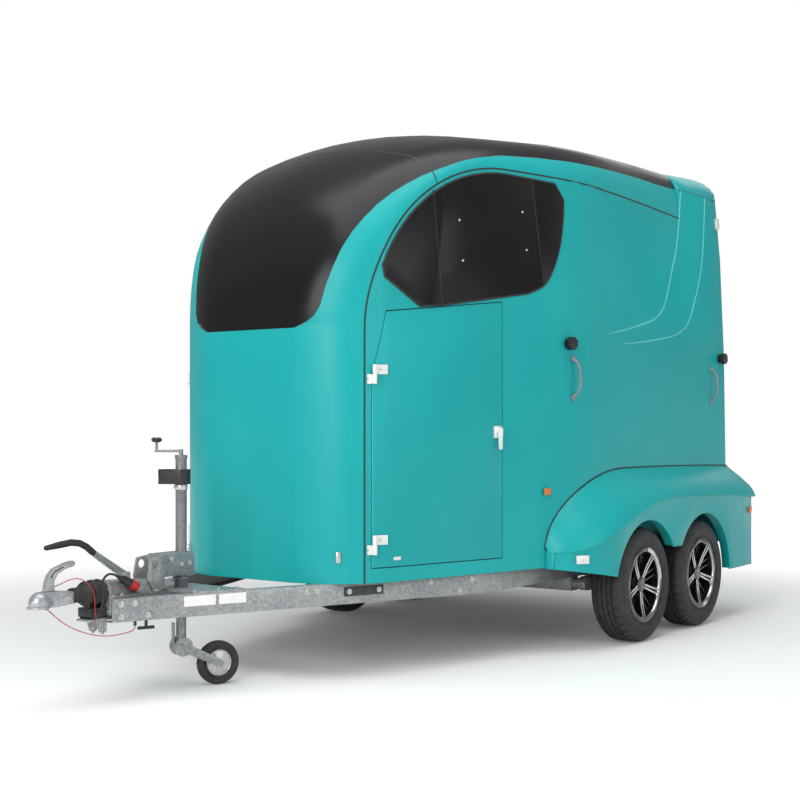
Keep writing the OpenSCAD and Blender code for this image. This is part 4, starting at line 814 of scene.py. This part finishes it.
# Rolled edges of the two creases pressed into the side wall: x, z, share of full height
CREASES = (
    ((-0.418, 2.62, 1), (-0.398, 2.44, 1), (-0.36, 2.27, 1), (-0.306, 2.14, 1), (-0.225, 1.96, 1),
     (-0.165, 1.88, 1), (-0.07, 1.824, 1), (0.06, 1.79, 0.9), (0.24, 1.752, 0.7), (0.4, 1.724, 0.4),
     (0.554, 1.701, 0)),
    ((-0.7635, 2.62, 1), (-0.758, 2.5, 1), (-0.735, 2.28, 1), (-0.68, 2.09, 1), (-0.59, 1.92, 1),
     (-0.52, 1.826, 1), (-0.42, 1.768, 1), (-0.27, 1.73, 0.9), (-0.06, 1.7, 0.7), (0.18, 1.672, 0.4),
     (0.43, 1.65, 0)))
for number, line in enumerate(CREASES):
    path = []
    for i, (x, z, share) in enumerate(line):
        before, after = line[max(i - 1, 0)], line[min(i + 1, len(line) - 1)]
        way = Vector((after[0] - before[0], after[1] - before[1])).normalized()
        path.append((1000 * (x + way.y * 0.0035),
                     1000 * (BODY_HALF - 0.0003 + number * 0.0032 * share - (1 - share) * 0.0052),
                     1000 * (z - way.x * 0.0035)))
    roll = strip("crease_roll_%d_left" % (number + 1), soft_line(path, 6), [(0, 1, 0)] * (6 * len(path) - 5),
                 0.011, 0.0052)
    smooth(roll, 80)
    # The crease rolls take the paler turquoise, a painted highlight along each crease.
    both_sides(roll, turquoise_painted_highlight)
hood_joint = strip("hood_joint_left", [at(-0.402 - 0.535 * i / 12, BODY_HALF, 2.6222) for i in range(13)],
                   [(0, 1, 0)] * 13, 0.006, 0.0014)
both_sides(hood_joint, sealant)


# ---- fittings on the outside ----

def wall_plate(name, x, z, width, height, thick, bevel=0.001):
    """A thin plate on the left wall, centred at x and z and turned with the wall."""
    normal = wall_normal(x)
    return box(name, on_wall(x, z, thick / 2 + 0.0004), (width, thick, height), bevel,
               math.atan2(-normal.x, normal.y))


def pair(piece, body, material, slot, other=None):
    """The left piece and its mirror image on the right."""
    name = piece.name
    piece.name = name + "_left"
    smooth(piece)
    twin = copy_moved(piece, name + "_right", MIRROR)
    put_on(piece, body, material)
    put_on(twin, other or body, material)
    return piece, twin


# Holder that keeps an open door against the nose, and its pin on the door
catch = joined("door_catch", [wall_plate("door_catch_plate", 2.290, 0.580, 0.022, 0.052, 0.004)] + [
    round_bar("pin", on_wall(2.290, z, 0.003), on_wall(2.290, z, 0.012), 0.006, 18) for z in (0.570, 0.590)])
pair(catch, "trailer", plated, "zinc")
keeper = wall_plate("door_keeper", 2.037, 0.566, 0.040, 0.016, 0.009, 0.002)
pair(keeper, "door_left", white_nylon, "white", "door_right")

# Screws of the door hinges, two in each leaf
hinge_screws, leaf_screws = [], []
for z in (0.590, 1.395):
    for x, rise, group in ((2.190, 0.0225, hinge_screws), (2.133, 0.068, leaf_screws),
                           (2.105, 0.068, leaf_screws)):
        group.append(screw(on_wall(x, z + rise, 0.0105), wall_normal(x)))
pair(joined("hinge_screws", hinge_screws), "trailer", plated, "zinc")
pair(joined("leaf_screws", leaf_screws), "door_left", plated, "zinc", "door_right")

# Lock barrel in the door's lever plate
lock_x, lock_z = 1.406, 1.181
barrel = round_bar("lock_barrel", on_wall(lock_x, lock_z, 0.010), on_wall(lock_x, lock_z, 0.031), 0.008, 24)
pair(barrel, "door_left", plated, "zinc", "door_right")


# ---- drawbar fittings ----

# The drawbar's rails lean in towards the coupling by this much for each metre
BAR_SLOPE = 0.39
BAR_LEAN = math.atan(BAR_SLOPE)
rail_out = Vector((math.sin(BAR_LEAN), math.cos(BAR_LEAN), 0))


def on_rail(x, z, out=0.0):
    """A place on the left rail's outer face, or a distance out from it."""
    return at(x, 0.064 + (3.3 - x) * BAR_SLOPE, z) + rail_out * out


def rail_plate(name, x0, x1, z0, z1, thick, out=0.0003, bevel=0.0008):
    middle = (on_rail(x0, z0) + on_rail(x1, z1)) / 2 + rail_out * (thick / 2 + out)
    return box(name, middle, (abs(x1 - x0) / math.cos(BAR_LEAN), thick, z1 - z0), bevel, -BAR_LEAN)


labels = joined("blank_labels", [rail_plate("label", a, b, 0.401, 0.446, 0.0004, 0.0001, 0)
                                 for a, b in ((2.851, 2.992), (2.712, 2.836))])
put_on(labels, "trailer", blank_film)
bracket = rail_plate("side_bracket", 2.036, 2.236, 0.392, 0.436, 0.005, 0.0003, 0.0012)
bracket_bolts = [bolt(on_rail(x, 0.414, 0.0053), rail_out, 0.013) for x in (2.060, 2.212)]
rail_bolts = [bolt(on_rail(x, z, 0.0002), rail_out, 0.013) for x, z in (
    (2.423, 0.426), (2.372, 0.426), (3.262, 0.432), (3.262, 0.378), (3.205, 0.432), (3.150, 0.378),
    (1.78, 0.43), (1.62, 0.38), (1.55, 0.43))]
rail_bolts = joined("rail_bolts", rail_bolts + bracket_bolts)
pair(rail_bolts, "trailer", plated, "zinc")
# The bracket's dark grey is painted shade.
pair(bracket, "trailer", painted_shade_steel, "black_plastic")

top_bolts = [bolt(at(x, s * y, z), (0, 0, 1), 0.013) for s in (1, -1) for x, y, z in (
    (3.285, 0.050, 0.4672), (3.235, 0.050, 0.4672), (3.035, 0.053, 0.4672), (2.935, 0.190, 0.4632),
    (2.735, 0.255, 0.4632), (2.820, 0.225, 0.4632))]
top_bolts += [bolt(at(3.3102, s * 0.048, z), (1, 0, 0), 0.010) for s in (1, -1) for z in (0.404, 0.500)]
top_bolts += [bolt(at(x, s * 0.0423, z), (0, s, 0), 0.012) for s in (1, -1)
              for x, z in ((2.815, 0.572), (2.865, 0.572), (2.930, 0.600))]
top_bolts = joined("drawbar_bolts", top_bolts)
smooth(top_bolts)
put_on(top_bolts, "trailer", plated)

# Wing lever of the jockey clamp under the rail, and the cable's snap hook
wing = joined("clamp_wing", [
    round_bar("stem", at(3.150, 0.112, 0.354), at(3.150, 0.112, 0.326), 0.007, 18),
    block("wing", (3.112, 3.190), (0.106, 0.118), (0.316, 0.330), 0.004, -BAR_LEAN)])
smooth(wing)
put_on(wing, "trailer", black_nylon)
hook_loop = [(3196 + 7 * math.cos(math.radians(a)), 92, 342 + 9 * math.sin(math.radians(a)))
             for a in range(0, 331, 30)]
hook = cable("snap_hook", soft_line(hook_loop, 3), 0.002, plated)
put_on(hook, "trailer")

# Clamp ring of the jockey tube, and its screw
collar = joined("jockey_collar", [
    round_bar("ring", at(JOCKEY_X, 0, 0.905), at(JOCKEY_X, 0, 0.929), 0.0295, 40, 0.002),
    bolt(at(JOCKEY_X + 0.0175, -0.0237, 0.917), (0.594, -0.804, 0), 0.009)])
smooth(collar)
put_on(collar, "trailer", plated)


# Jockey wheel: solid rubber tyre with two grooves, and a rim with a lip and ribs
TURN = math.radians(156.6)
JOCKEY_HUB = at(JOCKEY_X + 0.180 * math.cos(TURN), 0.180 * math.sin(TURN), 0.101)
JOCKEY_AXIS = Vector((-math.sin(TURN), math.cos(TURN), 0))
half = [(0.101, 0.0), (0.1008, 0.0055), (0.0985, 0.0062), (0.0985, 0.0088), (0.1004, 0.0095),
        (0.0993, 0.0150), (0.0960, 0.0198), (0.0905, 0.0232), (0.0870, 0.0246), (0.0800, 0.0242),
        (0.0760, 0.0228), (0.0740, 0.0226), (0.0700, 0.0222), (0.0625, 0.0212)]
section = half[:0:-1] + [(r, -w) for r, w in half]
radial = JOCKEY_AXIS.cross(Vector((0, 0, 1)))
solid_tyre = spun("jockey_tyre_moulded", [JOCKEY_HUB + radial * r + JOCKEY_AXIS * w for r, w in section],
                  JOCKEY_HUB, JOCKEY_AXIS, 96)
bpy.ops.object.mode_set(mode="OBJECT")
smooth(solid_tyre, 40)
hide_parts("jockey_tyre")
put_on(solid_tyre, "jockey_wheel", tyre_rubber)
rim_parts = []
for s in (1, -1):
    face = JOCKEY_HUB + JOCKEY_AXIS * s * 0.0162
    clear()
    bpy.ops.mesh.primitive_torus_add(major_radius=0.0575, minor_radius=0.004, major_segments=64,
                                     minor_segments=12, location=face,
                                     rotation=JOCKEY_AXIS.to_track_quat("Z", "Y").to_euler())
    ring = bpy.context.active_object
    settle(ring)
    rim_parts.append(ring)
    for k in range(6):
        way = Matrix.Rotation(math.radians(60 * k), 3, JOCKEY_AXIS) @ radial
        rim_parts.append(round_bar("rib", face + way * 0.017, face + way * 0.055, 0.0028, 12, 0))
    rim_parts.append(round_bar("hub_ring", face, face + JOCKEY_AXIS * s * 0.0098, 0.0215, 32, 0.002))
rim_detail = joined("jockey_rim_ribs", rim_parts)
smooth(rim_detail)
put_on(rim_detail, "jockey_wheel", plated)

# Flat feet of the grab handles
feet = []
for x in (0.868, -0.868):
    way = wall_normal(x - 0.016)
    for z in (1.346, 1.554):
        foot = at(x, wall_y(x - 0.016) + 0.0004, z)
        feet.append(round_bar("foot", foot, foot + way * 0.006, 0.0185, 28, 0.0025))
pair(joined("handle_feet", feet), "trailer", grey_nylon, "grey")


# ---- inside the body ----

mats = [block("mat", (-0.98, 1.16), sorted((s * 0.03, s * 0.86)), (0.4852, 0.4932), 0.002) for s in (1, -1)]
mats.append(block("mat", (1.20, 2.10), (-0.58, 0.58), (0.4852, 0.4932), 0.002))
mats = joined("floor_mats", mats)
put_on(mats, "trailer", mat_rubber)
pad_edge = [block("partition_pad", (-0.786, 1.186), (-0.021, 0.021), (1.605, 1.665), 0.018)]
pad_edge += [round_bar("post_pad", at(x, 0, 0.95), at(x, 0, 2.2), 0.034, 24, 0.012) for x in (-0.76, 1.16)]
pad_edge = joined("partition_pads", pad_edge)
smooth(pad_edge, 50)
put_on(pad_edge, "trailer", vinyl)

# Rubber treads with bars on the ramp's inner face
treads = [block("ramp_mat", (-1.0513, -1.0463), (-0.80, 0.80), (0.50, 1.56), 0.001)]
treads += [block("ramp_bar", (-1.0463, -1.0363), (-0.76, 0.76), (z, z + 0.025), 0.003)
           for z in [0.56 + 0.12 * i for i in range(9)]]
treads = joined("ramp_treads", treads)
put_on(treads, "ramp", mat_rubber)


# ---- rear fittings ----

def sink_back(piece, rim, depth):
    """Sink the face that looks to the rear, inside a rim."""
    work_on(piece)
    bpy.ops.object.mode_set(mode="EDIT")
    pick(piece, lambda c, n: n.x < -0.9)
    bpy.ops.mesh.inset(thickness=rim)
    bpy.ops.mesh.extrude_region_shrink_fatten(TRANSFORM_OT_shrink_fatten={"value": -depth})
    bpy.ops.object.mode_set(mode="OBJECT")


def reflector(y, z):
    """Triangular red reflector with a rounded rim."""
    clear()
    bpy.ops.mesh.primitive_cylinder_add(vertices=3, radius=0.082, depth=0.008, location=at(-1.1018, y, z),
                                        rotation=(math.radians(90), 0, math.radians(90)))
    piece = bpy.context.active_object
    settle(piece)
    round_edges(piece, 0.003)
    sink_back(piece, 0.008, 0.002)
    return piece


reflectors = joined("rear_reflectors", [reflector(s * 0.62, 0.62) for s in (1, -1)])
put_on(reflectors, "ramp", red_lens)
plate_base = block("number_plate", (-1.1008, -1.0978), (-0.26, 0.26), (0.85, 0.97), 0.001)
sink_back(plate_base, 0.006, 0.0008)
put_on(plate_base, "ramp", blank_film)

# Ramp latches: a lever on each pillar that hooks over a pin on the ramp
latches, pins = [], []
for s in (1, -1):
    latches += [block("latch_base", (-1.1065, -1.0985), sorted((s * 0.835, s * 0.885)), (1.04, 1.12), 0.002),
                block("latch_lever", (-1.1185, -1.1065), sorted((s * 0.850, s * 0.872)), (0.98, 1.10), 0.003)]
    pins += [block("latch_keep", (-1.1085, -1.0975), sorted((s * 0.775, s * 0.808)), (1.055, 1.105), 0.003)]
latches = joined("ramp_latches", latches)
pins = joined("latch_keeps", pins)
put_on(latches, "trailer", plated)
put_on(pins, "ramp", plated)
pull_x, pull_z = -1.1145, 1.42
pull = joined("ramp_pull", [
    round_bar("grip", at(pull_x, -0.16, pull_z), at(pull_x, 0.16, pull_z), 0.010, 24, 0.004)] + [
    round_bar("foot", at(-1.0972, y, pull_z), at(pull_x, y, pull_z), 0.011, 20, 0.002)
    for y in (-0.15, 0.15)])
smooth(pull)
put_on(pull, "ramp", black_nylon)


# ---- floor, light and background ----

clear()
bpy.ops.mesh.primitive_plane_add(size=80, location=(0, 0, 0))
ground = bpy.context.active_object
ground.name = "studio_floor"
floor_paint = bpy.data.materials.new("studio_floor_white")
floor_paint.use_nodes = True
floor_shader = floor_paint.node_tree.nodes["Principled BSDF"]
floor_shader.inputs["Base Color"].default_value = (0.9, 0.9, 0.9, 1)
floor_shader.inputs["Roughness"].default_value = 0.9
floor_shader.inputs["Specular IOR Level"].default_value = 0.0
# Far from the trailer the floor fades into the white backdrop.
far = add(floor_paint, "ShaderNodeVectorMath", {"operation": "LENGTH"},
          {0: add(floor_paint, "ShaderNodeTexCoord").outputs["Object"]})
fade = add(floor_paint, "ShaderNodeMapRange",
           {"interpolation_type": "SMOOTHSTEP", "From Min": 2.3, "From Max": 7.5,
            "To Min": 0.06, "To Max": 0.75},
           {"Value": far.outputs["Value"]})
rays = add(floor_paint, "ShaderNodeLightPath")
seen = add(floor_paint, "ShaderNodeMath", {"operation": "MAXIMUM"},
           {0: rays.outputs["Is Camera Ray"], 1: rays.outputs["Is Glossy Ray"]})
lift = add(floor_paint, "ShaderNodeMath", {"operation": "MULTIPLY"},
           {0: seen.outputs["Value"], 1: fade.outputs["Result"]})
join_up(floor_paint, lift.outputs["Value"], floor_shader, "Emission Strength")
floor_shader.inputs["Emission Color"].default_value = (1, 1, 1, 1)
ground.data.materials.append(floor_paint)

world = bpy.data.worlds.new("studio")
bpy.context.scene.world = world
world.use_nodes = True
back = world.node_tree.nodes["Background"]
path = add(world, "ShaderNodeLightPath")
direct = add(world, "ShaderNodeMath", {"operation": "MAXIMUM"},
             {0: path.outputs["Is Camera Ray"], 1: path.outputs["Is Transmission Ray"]})
strength = add(world, "ShaderNodeMapRange", {"To Min": 0.38, "To Max": 1.0},
               {"Value": direct.outputs["Value"]})
join_up(world, strength.outputs["Result"], back, "Strength")
back.inputs["Color"].default_value = (1, 1, 1, 1)


def softbox(name, place, aim, size, watts):
    light = bpy.data.lights.new(name, "AREA")
    light.shape = "RECTANGLE"
    light.size, light.size_y = size
    light.energy = watts
    lamp = bpy.data.objects.new(name, light)
    bpy.context.scene.collection.objects.link(lamp)
    lamp.location = place
    lamp.rotation_euler = (Vector(aim) - Vector(place)).to_track_quat("-Z", "Y").to_euler()


softbox("front_box", (8.0, 1.5, 4.5), (0.5, 0, 1.2), (4.0, 4.0), 285)
softbox("top_box", (1.0, 1.0, 7.0), (0, 0, 1.0), (7.0, 5.0), 280)
softbox("side_box", (0.5, 8.5, 3.2), (-0.3, 0, 1.3), (5.0, 3.0), 100)
softbox("rear_box", (-9.0, -1.5, 5.0), (-1.5, 0, 1.2), (4.0, 4.0), 45)
softbox("strip_box", (6.5, 2.4, 2.2), (0.8, 0.3, 1.4), (0.5, 3.0), 40)

bpy.context.scene.view_settings.view_transform = "Standard"
